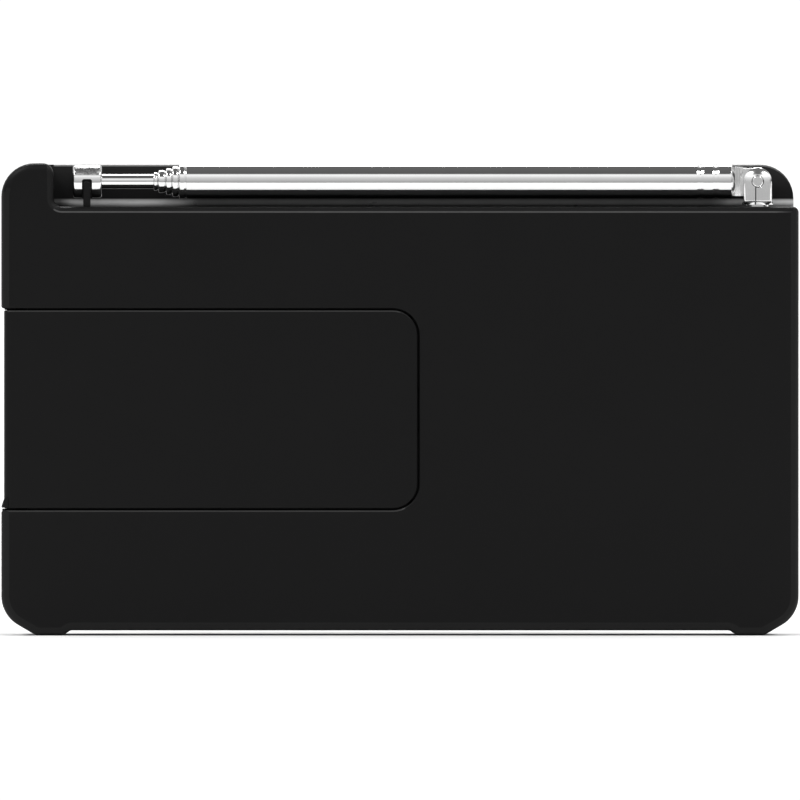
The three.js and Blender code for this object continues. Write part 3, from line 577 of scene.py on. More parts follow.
def cell_jacket(node, positive_high):
    """A cell's printed sleeve: dark body, a pale ring and a coppery positive end, with no lettering."""
    low, high = node_box(node)
    made = Shading(Metallic=0.6)
    along = made.node("ShaderNodeSeparateXYZ", {"Vector": made.place}).outputs["X"]
    ends = (0, 1) if positive_high else (1, 0)
    share = made.range(along, *ends, source=(low.x * MM, high.x * MM))
    dark, pale, copper = (0.02, 0.022, 0.026), (0.55, 0.56, 0.58), (0.55, 0.27, 0.09)
    stops = [(0.0, dark), (0.67, dark), (0.675, pale), (0.69, pale), (0.695, copper), (1.0, copper)]
    polish = made.range(made.noise(0.003), 0.24, 0.36)
    return made.finish(made.ramp(share, stops), polish, made.noise(0.0006), 0.000002)


def clear_lens(colour):
    """A tinted lamp lens, a little cloudy."""
    made = Shading(Transmission_Weight=0.35, IOR=1.5)
    cloud = made.noise(0.0012)
    tones = made.ramp(cloud, [(0.3, tint(colour, 0.7)), (0.7, colour)])
    return made.finish(tones, made.range(cloud, 0.08, 0.16))


def faded_plastic(colour, fades, roughness=0.4, specular=0.3, under=None):
    """Case plastic painted a lighter tone, as painted light, where every fade (axis, from, to) has run out.

    Fades are in millimetres. The tone is weaker under a part that lies from one x to another, as that part's
    painted shadow.
    """
    made = Shading(Specular_IOR_Level=specular)
    parts = made.node("ShaderNodeSeparateXYZ", {"Vector": made.place}).outputs
    share = made.range(made.noise(0.002), 0.88, 1.0)
    for axis, start, end in fades:
        step = made.range(parts[axis], 0.0, 1.0, source=(start * MM, end * MM))
        share = made.math("MULTIPLY", share, step)
    # Painted shadow: the tone is weaker under the part, and comes back past its ends.
    if under:
        middle, reach = (under[0] + under[1]) / 2, (under[1] - under[0]) / 2
        off = made.math("ABSOLUTE", made.math("SUBTRACT", parts["X"], middle * MM))
        span = ((reach - PAINTED_SHADOW_FADE.inside) * MM, (reach + PAINTED_SHADOW_FADE.outside) * MM)
        share = made.math("MULTIPLY", share, made.range(off, PAINTED_SHADOW_FADE.share, 1.0, source=span))
    tones = made.ramp(share, [(0.0, CASE_BLACK), (1.0, colour)])
    polish = made.range(made.noise(0.003), roughness - 0.03, roughness + 0.04)
    return made.finish(tones, polish, made.noise(SPARK_GRAIN), 0.000003)


MATERIALS = {
    "case_plastic": moulded_plastic(CASE_BLACK, 0.47, specular=0.1),
    # A painted highlight for upward-facing edge roundings at the door's seams.
    "case_edge_highlight": moulded_plastic(grey(0.022), 0.4, specular=0.25),
    # A painted highlight line on the groove's lip, fading out at the groove's open end.
    "case_rim_highlight": faded_plastic(grey(0.056), [("X", -58.3, -56)]),
    # A painted highlight on the top of the groove's wall, fading out towards the corners.
    "case_brow_highlight": faded_plastic(grey(0.17), [("X", -57, -52.5), ("X", 57, 52.5)]),
    # Painted light on the groove's fillet: a light band, faded at the groove's closed end and at its upper
    # and lower edges, weaker under the aerial's tube as its painted shadow.
    "groove_fillet": faded_plastic(
        grey(0.4),
        [("X", 50.8, 49.2), ("Z", GROOVE_FLOOR_Z, GROOVE_FLOOR_Z + 0.7),
         ("Z", GROOVE_FLOOR_Z + 1.3, GROOVE_FLOOR_Z + 0.9)],
        roughness=0.3, specular=0.8, under=(TUBE_LOW.x, TUBE_HIGH.x)),
    # Painted light on the groove's wall, lighter towards its top.
    "groove_wall_light": faded_plastic(grey(0.017), [("Z", 66.5, 69.8)], roughness=0.5, specular=0.14),
    # A painted highlight on the rounded back edge at the sides and below.
    "case_fillet_highlight": moulded_plastic(grey(0.0105), 0.47, specular=0.1),
    # A painted highlight on the rounding of the groove's end wall.
    "case_side_lip_highlight": moulded_plastic(grey(0.0098), 0.47, specular=0.1),
    "knob_plastic": moulded_plastic((0.010, 0.010, 0.011), 0.38, specular=0.35),
    "dial_plastic": moulded_plastic((0.006, 0.006, 0.0065), 0.22, depth=0.000001, specular=0.4),
    "print_white": moulded_plastic((0.62, 0.62, 0.6), 0.5),
    "print_red": moulded_plastic((0.5, 0.035, 0.02), 0.45),
    "chrome": polished_metal(CHROME, 0.07, grain=(0.25, 1, 1)),
    "knurled_chrome": knurled_chrome(PIVOT.z + KNURL_HEIGHT),
    "pivot_chrome": polished_metal(grey(0.96), 0.15, grain=(1, 1, 0.3)),
    "steel": polished_metal((0.56, 0.56, 0.57), 0.3, depth=0.000001),
    "spring_steel": polished_metal((0.66, 0.66, 0.67), 0.2, depth=0.0000006),
    "grille_steel": polished_metal((0.03, 0.03, 0.032), 0.42, depth=0.000001),
    "aluminium": polished_metal((0.72, 0.72, 0.74), 0.24, grain=(1, 1, 0.1)),
    "spun_aluminium": spun_metal((0.46, 0.46, 0.47), DIAL, 0.28),
    "board_laminate": circuit_laminate(),
    "black_resin": rough_solid((0.012, 0.012, 0.013), 0.42, 0.0005, 0.000004),
    "ferrite": rough_solid((0.035, 0.033, 0.032), 0.6, 0.0007, 0.00001),
    "coil_copper": wound_wire(),
    "white_nylon": rough_solid((0.72, 0.7, 0.66), 0.45, 0.0009, 0.000005, vary=0.04),
    "cone_paper": rough_solid((0.022, 0.02, 0.018), 0.85, 0.0006, 0.00003, vary=0.3),
    "red_insulation": rough_solid((0.42, 0.03, 0.02), 0.45, 0.0008, 0.000003, vary=0.06),
    "cell_steel": polished_metal((0.62, 0.62, 0.63), 0.22),
    "upper_cell_sleeve": cell_jacket("battery_upper", positive_high=True),
    "lower_cell_sleeve": cell_jacket("battery_lower", positive_high=False),
    "led_lens": clear_lens((0.45, 0.015, 0.01)),
}
for name, material in MATERIALS.items():
    material.name = name


# ------------ case
def case_corners(side_inset=0.0, top_inset=0.0):
    """The case's outline with its two feet. Each flank slopes in to its foot."""
    half, top = HALF_WIDTH - side_inset, TOP_Z - top_inset
    flank_x = half - CORNER_RADIUS * (1 - math.sin(FOOT_SLOPE))
    flank_z = LOWER_CORNER_Z - CORNER_RADIUS * math.cos(FOOT_SLOPE)
    side_z = flank_z + (half - flank_x) * math.tan(FOOT_SLOPE)
    foot_x = flank_x - flank_z / math.tan(FOOT_SLOPE)
    right = [
        (FOOT_INNER_X - FOOT_RAMP, UNDERSIDE_Z, FOOT_EDGE),
        (FOOT_INNER_X, 0, FOOT_EDGE),
        (foot_x, 0, FOOT_EDGE),
        (half, side_z, CORNER_RADIUS),
        (half, top, CORNER_RADIUS),
    ]
    return right + [(-x, z, radius) for x, z, radius in reversed(right)]


def cavity_corners(shrink=0.0):
    half = INSIDE_X - shrink
    z0, z1 = UNDERSIDE_Z + WALL + shrink, TOP_Z - TOP_STEP - WALL - shrink
    return rectangle(-half, half, z0, z1, CORNER_RADIUS - WALL - shrink)


def case_lip():
    """The rim that reaches from the rear shell into the front one."""
    y0, y1 = SEAM_Y - LIP.reach, SEAM_Y + LIP.root
    root = prism(cavity_corners(-LIP.bite), SEAM_Y + 1, y1)
    lip = join(root, prism(cavity_corners(GAP), y0, y1))
    return cut(lip, prism(cavity_corners(LIP.inside), y0 - 1, y1 + 1))


def groove_hollow():
    """What is taken out for the aerial's groove, which is open at the top and at one end."""
    floor, top, side = GROOVE_FLOOR_Z, TOP_Z + SKIN, HALF_WIDTH + SKIN
    corners = [
        (-FAR, floor - 3, 0),
        (-side, floor - 3, 0),
        (-side, floor, GROOVE_MOUTH),
        (GROOVE_END_X, floor, GROOVE_CORNER),
        (GROOVE_END_X, top, GROOVE_TOP_CORNER),
        (GROOVE_END_X + 4, top, 0),
        (GROOVE_END_X + 4, 2 * TOP_Z, 0),
        (-FAR, 2 * TOP_Z, 0),
    ]
    return prism(corners, STEP_Y, REAR_Y, end_edge=-GROOVE_LIP)


def groove_fillet():
    """The hollow rounding between the groove's floor and its back wall."""
    y, z, reach = STEP_Y, GROOVE_FLOOR_Z, GROOVE_FILLET + 5 * SKIN
    corners = [
        (y - BITE, z - BITE, 0),
        (y + reach, z - BITE, 0),
        (y + reach, z, 0),
        (y, z, GROOVE_FILLET),
        (y, z + reach, 0),
        (y - BITE, z + reach, 0),
    ]
    return prism(corners, SIDE_STEP - HALF_WIDTH, GROOVE_END_X + BITE, axis="x")


def clip_post():
    """The post that the notch in the aerial's tip straddles."""
    corners = [
        (POST.x0, GROOVE_FLOOR_Z - 1, 0),
        (POST.x1, GROOVE_FLOOR_Z - 1, 0),
        (POST.x1, POST.top, POST.corner),
        (POST.x0, POST.top, POST.corner),
    ]
    return prism(corners, REAR_Y - POST.depth1, REAR_Y - POST.depth0,
                 start_edge=POST.edge, end_edge=POST.edge)


def bay_walls():
    z0, z1 = BAY.z0 - BAY.ledge_wall, BAY.z1 + BAY.ledge_wall
    front_y, inside_y = REAR_Y - BAY.depth - BAY.wall, REAR_Y - WALL / 2
    box = block(BAY.x0 - BAY.wall, INSIDE_X - GAP, front_y, inside_y, z0, z1)
    return join(box, block(BAY.x1, BAY_END_X, SEAM_Y + GAP / 2, inside_y, z0, z1))


def bay_cutters():
    """What is taken out for the cells, the door, its hooks and its latch."""
    x0, x1, z0, z1 = BAY.x0, BAY.x1, BAY.z0, BAY.z1
    hollow = block(x0, x1, REAR_Y - BAY.depth, REAR_Y - WALL, z0, z1)
    for low, high in ((z0, z0 + LEDGE.height), (z1 - LEDGE.height, z1)):
        ledge = block(x0 - 1, x1, REAR_Y - LEDGE.depth1, REAR_Y - LEDGE.depth0, low, high)
        hollow = cut(hollow, ledge)
    opening = prism(rectangle(DOOR_X0 - GAP, FAR, z0, z1, DOOR_CORNER + GAP), REAR_Y - WALL, REAR_Y,
                    end_edge=-CUT_EDGE)
    side = prism(rectangle(STEP_Y, REAR_Y + 3, z0, z1), BAY_END_X, HALF_WIDTH, axis="x",
                 end_edge=-SIDE_CUT_EDGE)
    latch = block(LATCH.x0, x0 + 0.1, REAR_Y - LATCH.depth1 - GAP, REAR_Y - WALL,
                  LATCH.z0 - BITE, LATCH.z1 + BITE)
    cutters = [hollow, opening, side, latch]
    notch = HOOK.stem1 + GAP
    for low, high in ((z0, z0 + notch), (z1 - notch, z1)):
        cutters.append(block(x1 - 0.1, x1 + 4, REAR_Y - HOOK.depth1 - GAP, REAR_Y - WALL, low, high))
    return cutters


def side_sills():
    """Ribs that close the seams above and below the door's side, so that no light shows through them."""
    x0, y0, y1 = DOOR_HIGH.x - DOOR_THICKNESS, STEP_Y - SILL.front, REAR_Y - 2 * REAR_EDGE
    gap, height = SILL.gap, SILL.height
    return [block(x0, DOOR_HIGH.x - gap, y0, y1, DOOR_Z1 + gap, BAY.z1 + height),
            block(x0, HALF_WIDTH - 2 * gap, y0, y1, BAY.z0 - height, DOOR_Z0 - gap)]


def floor_cutters():
    """Holes for the aerial's stud, the case screws and the contacts' tails."""
    y0, y1 = REAR_Y - BAY.depth - BAY.wall - 0.1, REAR_Y - BAY.depth + 0.1
    stud = (PIVOT.x, PIVOT.y, 0)
    cutters = [cylinder("z", stud, STUD_HOLE, GROOVE_FLOOR_Z - 4, GROOVE_FLOOR_Z + 1)]
    cutters += [cylinder("y", (x, 0, SCREW_Z), SCREW_HOLE, y0, y1) for x in SCREW_X]
    for node in ("battery_upper", "battery_lower"):
        z = node_middle(node).z
        cutters.append(block(BAY.x1 - 1, BAY.x1, y0, y1, z - TAIL_SLOT, z + TAIL_SLOT))
    return cutters


def rear_shell():
    inner = case_corners(SIDE_STEP, TOP_STEP)
    shell = prism(case_corners(), STEP_Y, REAR_Y, end_edge=REAR_EDGE)
    skirt = prism(inner, SEAM_Y + GAP / 2, STEP_Y, start_edge=SEAM_EDGE, end_edge=BROW_EDGE)
    root = cut(prism(inner, STEP_Y - 1, STEP_Y + 1),
               block(-FAR, GROOVE_END_X, STEP_Y - 2, STEP_Y + 2, GROOVE_FLOOR_Z, FAR))
    shell = join(shell, skirt, root)
    around_groove = block(-FAR, GROOVE_END_X + GROOVE_WALL, STEP_Y - GROOVE_WALL, FAR,
                          GROOVE_FLOOR_Z - GROOVE_WALL, FAR)
    shell = cut(shell, cut(prism(cavity_corners(), 0, REAR_Y - WALL), around_groove))
    shell = join(shell, case_lip())
    shell = cut(shell, groove_hollow())
    shell = join(shell, groove_fillet(), clip_post(), bay_walls())
    shell = cut(shell, *bay_cutters(), *floor_cutters())
    x1, y1 = TAB.thickness - INSIDE_X, SEAM_Y + TAB.root
    tab = join(block(GAP - INSIDE_X, x1, SEAM_Y - TAB.reach, y1, TAB.z0, TAB.z1),
               block(-INSIDE_X - BITE, x1, SEAM_Y + TAB.reach, y1, TAB.z0, TAB.z1))
    return join(shell, tab, *side_sills())


def add_rear_shell():
    """The rear shell. Some of its rounded edges and the groove's wall and fillet get painted highlights and
    painted light, each as it catches the light, with the aerial tube's painted shadow on the fillet.
    """
    shell = piece(rear_shell(), "rear_shell", "rear_case", "case_plastic", "case_plastic")
    lip_z = GROOVE_FLOOR_Z - GROOVE_LIP
    last_strip = GROOVE_LIP * (1 - math.sin(math.pi / 2 * (1 - 1 / EDGE_STEPS))) + 0.005
    # Painted highlight: a lighter line on the last strip of the groove's lip, where it faces up.
    paint(shell, "case_rim_highlight", lambda centre, normal: (
        centre.y > REAR_Y - last_strip and 0.9 < normal.y < FLAT
        and lip_z - 0.1 < centre.z < lip_z + 0.6 and normal.z > 0.04 and centre.x < GROOVE_END_X + 0.8))
    # Painted highlight: a lighter tone on the rounded back edge at the sides and along the bottom.
    paint(shell, "case_fillet_highlight", lambda centre, normal: (
        centre.y > REAR_Y - REAR_EDGE and 0.5 < normal.y < FLAT and normal.z < 0.1
        and (abs(centre.x) > HALF_WIDTH - REAR_EDGE - 0.05 or centre.z < LOWER_CORNER_Z)))
    # Painted highlight: a lighter band on the rounding of the groove's end wall.
    paint(shell, "case_side_lip_highlight", lambda centre, normal: (
        centre.y > STEP_Y and 0.01 < normal.y < FLAT and normal.x < -0.02
        and GROOVE_END_X - 0.1 < centre.x < GROOVE_END_X + GROOVE_LIP + 0.1 and centre.z > lip_z + 0.6))
    # Painted highlight: a lighter strip on the upward-facing rounding along the top of the groove's wall.
    paint(shell, "case_brow_highlight", lambda centre, normal: (
        STEP_Y - BROW_EDGE < centre.y < STEP_Y and normal.y > 0.01 and normal.z > 0.15
        and centre.z > TOP_Z - TOP_STEP - CORNER_RADIUS and centre.x < GROOVE_END_X))
    # Painted highlight: a lighter tone on the upward-facing rounding of the door opening's lower edge.
    paint(shell, "case_edge_highlight", lambda centre, normal: (
        REAR_Y - CUT_EDGE < centre.y and 0.1 < normal.y < FLAT
        and normal.z > 0.05 and abs(centre.z - BAY.z0) < 0.3))
    # Painted light: the groove's wall turns lighter towards its top.
    paint(shell, "groove_wall_light", lambda centre, normal: (
        normal.y > FLAT and abs(centre.y - STEP_Y) < 0.01 and centre.x < GROOVE_END_X
        and centre.z > GROOVE_FLOOR_Z + GROOVE_FILLET))
    # Painted light on the groove's fillet, weaker under the aerial's tube as its painted shadow.
    paint(shell, "groove_fillet", lambda centre, normal: (
        STEP_Y < centre.y < STEP_Y + GROOVE_FILLET and normal.y > 0.05 and normal.z > 0.05
        and GROOVE_FLOOR_Z < centre.z < GROOVE_FLOOR_Z + GROOVE_FILLET and centre.x < GROOVE_END_X))


def front_shell():
    inner_y = FRONT_Y + FRONT_WALL
    shell = prism(case_corners(SIDE_STEP, TOP_STEP), FRONT_Y, SEAM_Y - GAP / 2,
                  start_edge=FRONT_EDGE, end_edge=SEAM_EDGE)
    shell = cut(shell, prism(cavity_corners(), inner_y, SEAM_Y + 1))
    seat_end = inner_y + SEAT_DEPTH
    seat = cut(cylinder("y", on_y(SPEAKER), SEAT_OUTSIDE, inner_y - BITE, seat_end, sides=96),
               cylinder("y", on_y(SPEAKER), SEAT_INSIDE, inner_y - 1, seat_end + 1, sides=96))
    boss_end = REAR_Y - BAY.depth - BAY.wall - GAP
    bosses = [cylinder("y", (x, 0, SCREW_Z), SCREW_BOSS, inner_y - BITE, boss_end) for x in SCREW_X]
    return cut(join(shell, seat, *bosses), *front_cutters(inner_y))


def front_cutters(inner_y):
    """What is taken out for the grille, the dial, the controls, the lamp, the socket and the screws."""
    cutters = []
    recess_depth = SPEAKER_HIGH.y - FRONT_Y + GAP
    for middle, rim_x, hole, sides in ((SPEAKER, SPEAKER_HIGH.x, SPEAKER_HOLE, 128),
                                       (DIAL, DIAL_HIGH.x, TUNING_HOLE, 48)):
        cutters.append(cylinder("y", on_y(middle), hole, FRONT_Y, inner_y + BITE, sides=sides))
        cutters.append(cylinder("y", on_y(middle), rim_x - middle.x + GAP, FRONT_Y, FRONT_Y + recess_depth,
                                start_edge=-RECESS_EDGE, sides=128))
    for node, hole in (("volume_knob", VOLUME_HOLE), ("power_led", LAMP_HOLE)):
        cutters.append(cylinder("y", on_y(node_middle(node)), hole, FRONT_Y, inner_y + BITE,
                                start_edge=-HOLE_EDGE))
    switch = node_middle("band_switch_body")
    cutters.append(prism(oblong(switch, **SWITCH_SLOT), FRONT_Y - 1, inner_y + 1))
    cutters.append(prism(oblong(switch, **SWITCH_RECESS), FRONT_Y, FRONT_Y + SWITCH_RECESS_DEPTH,
                         start_edge=-HOLE_EDGE))
    jack = (0, jack_y(), node_middle("headphone_jack").z)
    cutters.append(cylinder("x", jack, JACK_HOLE, HALF_WIDTH - 4, FRONT_HIGH.x, end_edge=-CUT_EDGE))
    return cutters + [cylinder("y", (x, 0, SCREW_Z), SCREW_HOLE, inner_y + BITE, 1) for x in SCREW_X]


def jack_y():
    """The socket's axis, behind the front of its block."""
    return node_box("headphone_jack")[0].y + JACK_AXIS_DEPTH


def door_corner_cutter(upper):
    """What is taken off a corner of the door's plate, with its rounded edge."""
    x0, reach = DOOR_X0, DOOR_CORNER + 0.1
    corners = [(x0 - 1, -1, 0), (x0 + reach, -1, 0), (x0 + reach, 0, 0), (x0, 0, DOOR_CORNER),
               (x0, reach, 0), (x0 - 1, reach, 0)]
    placed = [(x, DOOR_Z1 - z if upper else DOOR_Z0 + z, radius) for x, z, radius in corners]
    return prism(placed, REAR_Y - DOOR_THICKNESS - 1, REAR_Y, end_edge=-DOOR_EDGE)


def door_fittings():
    """The hooks that run under the bay's ledges, and the latch tongue with its riser."""
    fittings = []
    root_y = REAR_Y - DOOR_THICKNESS + 0.1
    end_y, foot_y = REAR_Y - HOOK.depth1, REAR_Y - HOOK.depth0
    for x in HOOK.at:
        for side, edge in ((1, BAY.z0), (-1, BAY.z1)):
            for inner, top_y in ((HOOK.stem0, root_y), (HOOK.foot, foot_y)):
                span = sorted((edge + side * inner, edge + side * HOOK.stem1))
                fittings.append(block(x, x + HOOK.length, end_y, top_y, *span))
    z0, z1, low_y = LATCH.z0, LATCH.z1, REAR_Y - LATCH.depth1
    fittings.append(block(LATCH.x0, LATCH.x1, low_y, REAR_Y - LATCH.depth0, z0, z1))
    fittings.append(block(DOOR_X0 + 0.1, LATCH.x1, low_y, root_y, z0, z1))
    return fittings


def door_flare():
    """The strip that brings the foot of the door's side out to the case's own side."""
    x0, x1, z = HALF_WIDTH - 1, HALF_WIDTH, DOOR_Z0
    corners = [
        (x0, z + FLARE.foot, 0),
        (x1, z + FLARE.foot, FLARE.rounding),
        (x1, z + FLARE.bend, FLARE.rounding),
        (DOOR_HIGH.x - 0.03, z + FLARE.top, 0),
        (x0, z + FLARE.top, 0),
    ]
    case = prism(case_corners(FLARE.inset), STEP_Y, REAR_Y - FLARE.inset, end_edge=REAR_EDGE)
    return common(prism(corners, DOOR_LOW.y, REAR_Y + 1), case)


def battery_cover():
    """The door's plate, wrapped round the case's side."""
    inner_y, inner_x = REAR_Y - DOOR_THICKNESS, DOOR_HIGH.x - DOOR_THICKNESS
    section = [
        (DOOR_X0, inner_y, 0),
        (inner_x, inner_y, 0.4),
        (inner_x, DOOR_LOW.y, 0),
        (DOOR_HIGH.x, DOOR_LOW.y, DOOR_EDGE),
        (DOOR_HIGH.x, REAR_Y, REAR_EDGE),
        (DOOR_X0, REAR_Y, DOOR_EDGE),
    ]
    cover = prism(section, DOOR_Z0, DOOR_Z1, axis="z", start_edge=DOOR_EDGE, end_edge=DOOR_EDGE)
    cover = cut(cover, door_corner_cutter(True), door_corner_cutter(False))
    return join(cover, door_flare(), *door_fittings())


def add_battery_cover():
    cover = piece(battery_cover(), "battery_cover", "battery_door", "case_plastic", "case_plastic")
    straight_x = DOOR_X0 + DOOR_CORNER * 0.6
    # Painted highlight: a lighter tone on the upward-facing rounding of the door's top edge.
    paint(cover, "case_edge_highlight", lambda centre, normal: (
        REAR_Y - DOOR_EDGE < centre.y and 0.1 < normal.y < FLAT
        and normal.z > 0.05 and centre.z > DOOR_Z1 - 0.35 and centre.x > straight_x))


# ------------ aerial
# Places along the aerial are measured from its pivot.
SECTIONS = 5
TUBE_WALL = 0.18
TUBE_PLAY = 0.04
CRIMP = Sizes(half=0.5, floor=0.08, depth=0.13, rounding=0.3, floor_rounding=0.1, at=(2.45, 4.75))
COLLAR = Sizes(under=0.06, over=0.02, rise=0.12, length=0.3)
BEAD = Sizes(length=1.0, crease=0.13, slope=0.12, swell=0.24)
NOTCH = Sizes(x0=1.47, x1=2.98, top=0.36, corner=0.35)
TANG = Sizes(half_height=2, half_depth=0.8, end=3.3, rounding=1.98, hole=1.1)
SHOULDER = Sizes(start=2.58, end=3.38, half=2.2, neck=1.8, bevel=0.42, edge=0.05)
SHOULDER_GROOVES = Sizes(count=3, first=0.16, pitch=0.24, half=0.05, depth=0.04)
PLUG_RADIUS, PLUG_END = 2.1, 10
CLEVIS_RADIUS = 2.1
CLEVIS_BASE = -3.5
FLANGE_TOP = -3.02
FLANGE_RADIUS, FLANGE_TAPER = 2.4, 0.17
STUD_RADIUS = 1.7
FORK_SLOT = 1.1
FORK_FLOOR = -2.5
SEAM_X, SEAM_HALF, SEAM_DEPTH, SEAM_TOP = 0.3, 0.08, 0.35, -0.6
VAULT_CURVE, VAULT_REACH, VAULT_STEPS = 3.6, 3, 24
PIN_RADIUS = 0.83
PIN_HOLE = 0.92


def aerial_extent(node):
    """Where an aerial piece starts and ends, and its radius."""
    low, high = node_box(node)
    return low.x - PIVOT.x, high.x - PIVOT.x, (high.z - low.z) / 2


def crimp(radius, at):
    """The profile corners of a rolled groove."""
    half, floor, bottom = CRIMP.half, CRIMP.floor, radius - CRIMP.depth
    return [(radius, at - half, CRIMP.rounding), (bottom, at - floor, CRIMP.floor_rounding),
            (bottom, at + floor, CRIMP.floor_rounding), (radius, at + half, CRIMP.rounding)]


def collar(radius, start):
    """The profile corners of the outer tube's own end, crimped on the plug by two rolled grooves."""
    corners = [(radius - COLLAR.under, start, 0), (radius + COLLAR.over, start + COLLAR.rise, 0.05),
               (radius, start + COLLAR.length, 0)]
    for at in CRIMP.at:
        corners += crimp(radius, start + at)
    return corners


def aerial_section(index):
    """A thin tube whose outer end is a bead behind a crease, rolled in on the next tube."""
    start, end, radius = aerial_extent(f"antenna_section_{index}")
    following = f"antenna_section_{index + 1}" if index < SECTIONS else "antenna_rod"
    mouth = aerial_extent(following)[2] + TUBE_PLAY
    rolled = radius - mouth - 0.01
    if index == 1:
        outside, shown = collar(radius, start), BEAD.length
    else:
        outside, shown = [(radius, start, 0)], end - aerial_extent(f"antenna_section_{index - 1}")[1] - 0.05
    crease = end - shown
    outside += [
        (radius, crease - BEAD.slope, 0),
        (radius - BEAD.crease, crease, 0.03),
        (radius - 0.02, crease + BEAD.swell, 0.2),
        (radius, end - rolled - 0.05, 0.1),
        (radius, end, rolled),
        (mouth, end, 0),
    ]
    bore = radius - TUBE_WALL - 0.03
    inside = [(mouth, end - 0.1, 0), (bore, end - 0.3, 0), (bore, start, 0)]
    return turned(outside + inside, "x", PIVOT)


def aerial_rod():
    start, end, radius = aerial_extent("antenna_rod")
    return cylinder("x", PIVOT, radius, start, end + BITE, start_edge=0.2)


def aerial_tip():
    """The cap on the aerial's end, with the notch that straddles the post in the groove."""
    start, end, radius = aerial_extent("antenna_tip")
    profile = [(0, start, 0), (radius - 0.05, start, 0.4), (radius, start + 0.7, 0.3), (radius, end, 0.4),
               (0, end, 0)]
    notch = rectangle(PIVOT.x + start + NOTCH.x0, PIVOT.x + start + NOTCH.x1,
                      PIVOT.z - 5, PIVOT.z + NOTCH.top, NOTCH.corner)
    return cut(turned(profile, "x", PIVOT), prism(notch, PIVOT.y - 5, PIVOT.y + 5))


def eye_shoulder():
    """The tang's square shoulder, with fine grooves round it."""
    start, end, half = PIVOT.x + SHOULDER.start, PIVOT.x + SHOULDER.end, SHOULDER.half
    neck, bevel, edge = SHOULDER.neck, SHOULDER.bevel, SHOULDER.edge
    groove, floor = SHOULDER_GROOVES.half, half - SHOULDER_GROOVES.depth
    side = [(start - bevel, TANG.half_depth, 0), (start - bevel, neck, 0), (start, half, edge)]
    for k in range(SHOULDER_GROOVES.count):
        x = start + SHOULDER_GROOVES.first + SHOULDER_GROOVES.pitch * k
        side += [(x - groove, half, 0), (x, floor, 0), (x + groove, half, 0)]
    side += [(end, half, edge), (end + bevel, neck, 0)]
    other = [(x, -y, rounding) for x, y, rounding in reversed(side)]
    corners = [(x, PIVOT.y + y, rounding) for x, y, rounding in side + other]
    return prism(corners, PIVOT.z - half + 0.02, PIVOT.z + half - 0.02, axis="z",
                 start_edge=0.03, end_edge=0.03)


def aerial_eye():
    """The tang that tilts in the clevis, its shoulder and the plug that the first tube is crimped to."""
    height, depth = TANG.half_height, TANG.half_depth
    x0, x1 = PIVOT.x - height, PIVOT.x + TANG.end
    tang = [(x0, PIVOT.z - height, TANG.rounding), (x1, PIVOT.z - height, 0),
            (x1, PIVOT.z + height, 0), (x0, PIVOT.z + height, TANG.rounding)]
    plate = prism(tang, PIVOT.y - depth, PIVOT.y + depth, start_edge=0.15, end_edge=0.15)
    plug_start = SHOULDER.end + SHOULDER.bevel - 0.05
    profile = [(0, plug_start, 0), (PLUG_RADIUS, plug_start, 0), (PLUG_RADIUS, PLUG_END, 0.3),
               (0, PLUG_END, 0)]
    hole = cylinder("y", on_y(PIVOT), TANG.hole, PIVOT.y - 3, PIVOT.y + 3)
    return cut(join(plate, eye_shoulder(), turned(profile, "x", PIVOT)), hole)


def clevis_flange(base, top):
    profile = [(0, base, 0), (FLANGE_RADIUS + 0.05, base, 0.04), (FLANGE_RADIUS, base + 0.1, 0.05),
               (FLANGE_RADIUS - FLANGE_TAPER, top, 0.04), (0, top, 0)]
    return turned(profile, "z", (PIVOT.x, PIVOT.y, 0))


def aerial_clevis():
    """The fork that swivels on its stud, rounded over at the top and flared into a flange below."""
    low, high = node_box("antenna_clevis")
    x0, x1 = PIVOT.x - CLEVIS_RADIUS, PIVOT.x + CLEVIS_RADIUS
    base, flange_top, top = PIVOT.z + CLEVIS_BASE, PIVOT.z + FLANGE_TOP, PIVOT.z + CLEVIS_RADIUS
    foot, rounding = flange_top - 0.1, CLEVIS_RADIUS - 0.02
    corners = [(x0, foot, 0), (x1, foot, 0), (x1, top, rounding), (x0, top, rounding)]
    cheeks = common(prism(corners, low.y, high.y, start_edge=0.3, end_edge=0.3),
                    under_vault((high.y - low.y) / 2))
    stud = cylinder("z", (PIVOT.x, PIVOT.y, 0), STUD_RADIUS, low.z, base + 0.1)
    pin_hole = cylinder("y", on_y(PIVOT), PIN_HOLE, low.y, high.y, start_edge=-0.05, end_edge=-0.05)
    slot = block(x0 - 1, x1 + 1, PIVOT.y - FORK_SLOT, PIVOT.y + FORK_SLOT, PIVOT.z + FORK_FLOOR, top + 1)
    seam = block(PIVOT.x + SEAM_X - SEAM_HALF, PIVOT.x + SEAM_X + SEAM_HALF,
                 high.y - SEAM_DEPTH, high.y + 1, flange_top + 0.1, PIVOT.z + SEAM_TOP)
    return cut(join(cheeks, clevis_flange(base, flange_top), stud), slot, pin_hole, seam)


def under_vault(depth):
    """The space under a barrel along x, a little narrower at its ends, which rounds the clevis over."""
    profile = [(0, -VAULT_REACH, 0)]
    for k in range(VAULT_STEPS + 1):
        along = -VAULT_REACH + 2 * VAULT_REACH * k / VAULT_STEPS
        profile.append((depth - VAULT_CURVE + math.sqrt(VAULT_CURVE ** 2 - along ** 2), along, 0))
    barrel = turned(profile + [(0, VAULT_REACH, 0)], "x", PIVOT, sides=96)
    x, y, z = PIVOT
    return join(barrel, block(x - VAULT_REACH, x + VAULT_REACH, y - depth, y + depth, z - 5, z))


def aerial_pin():
    y0, y1 = PIN_LOW.y, PIN_HIGH.y
    return turned([(0, y0, 0), (PIN_RADIUS, y0, 0.15), (PIN_RADIUS, y1, 0.15), (0, y1, 0)],
                  "y", on_y(PIVOT), sides=48)


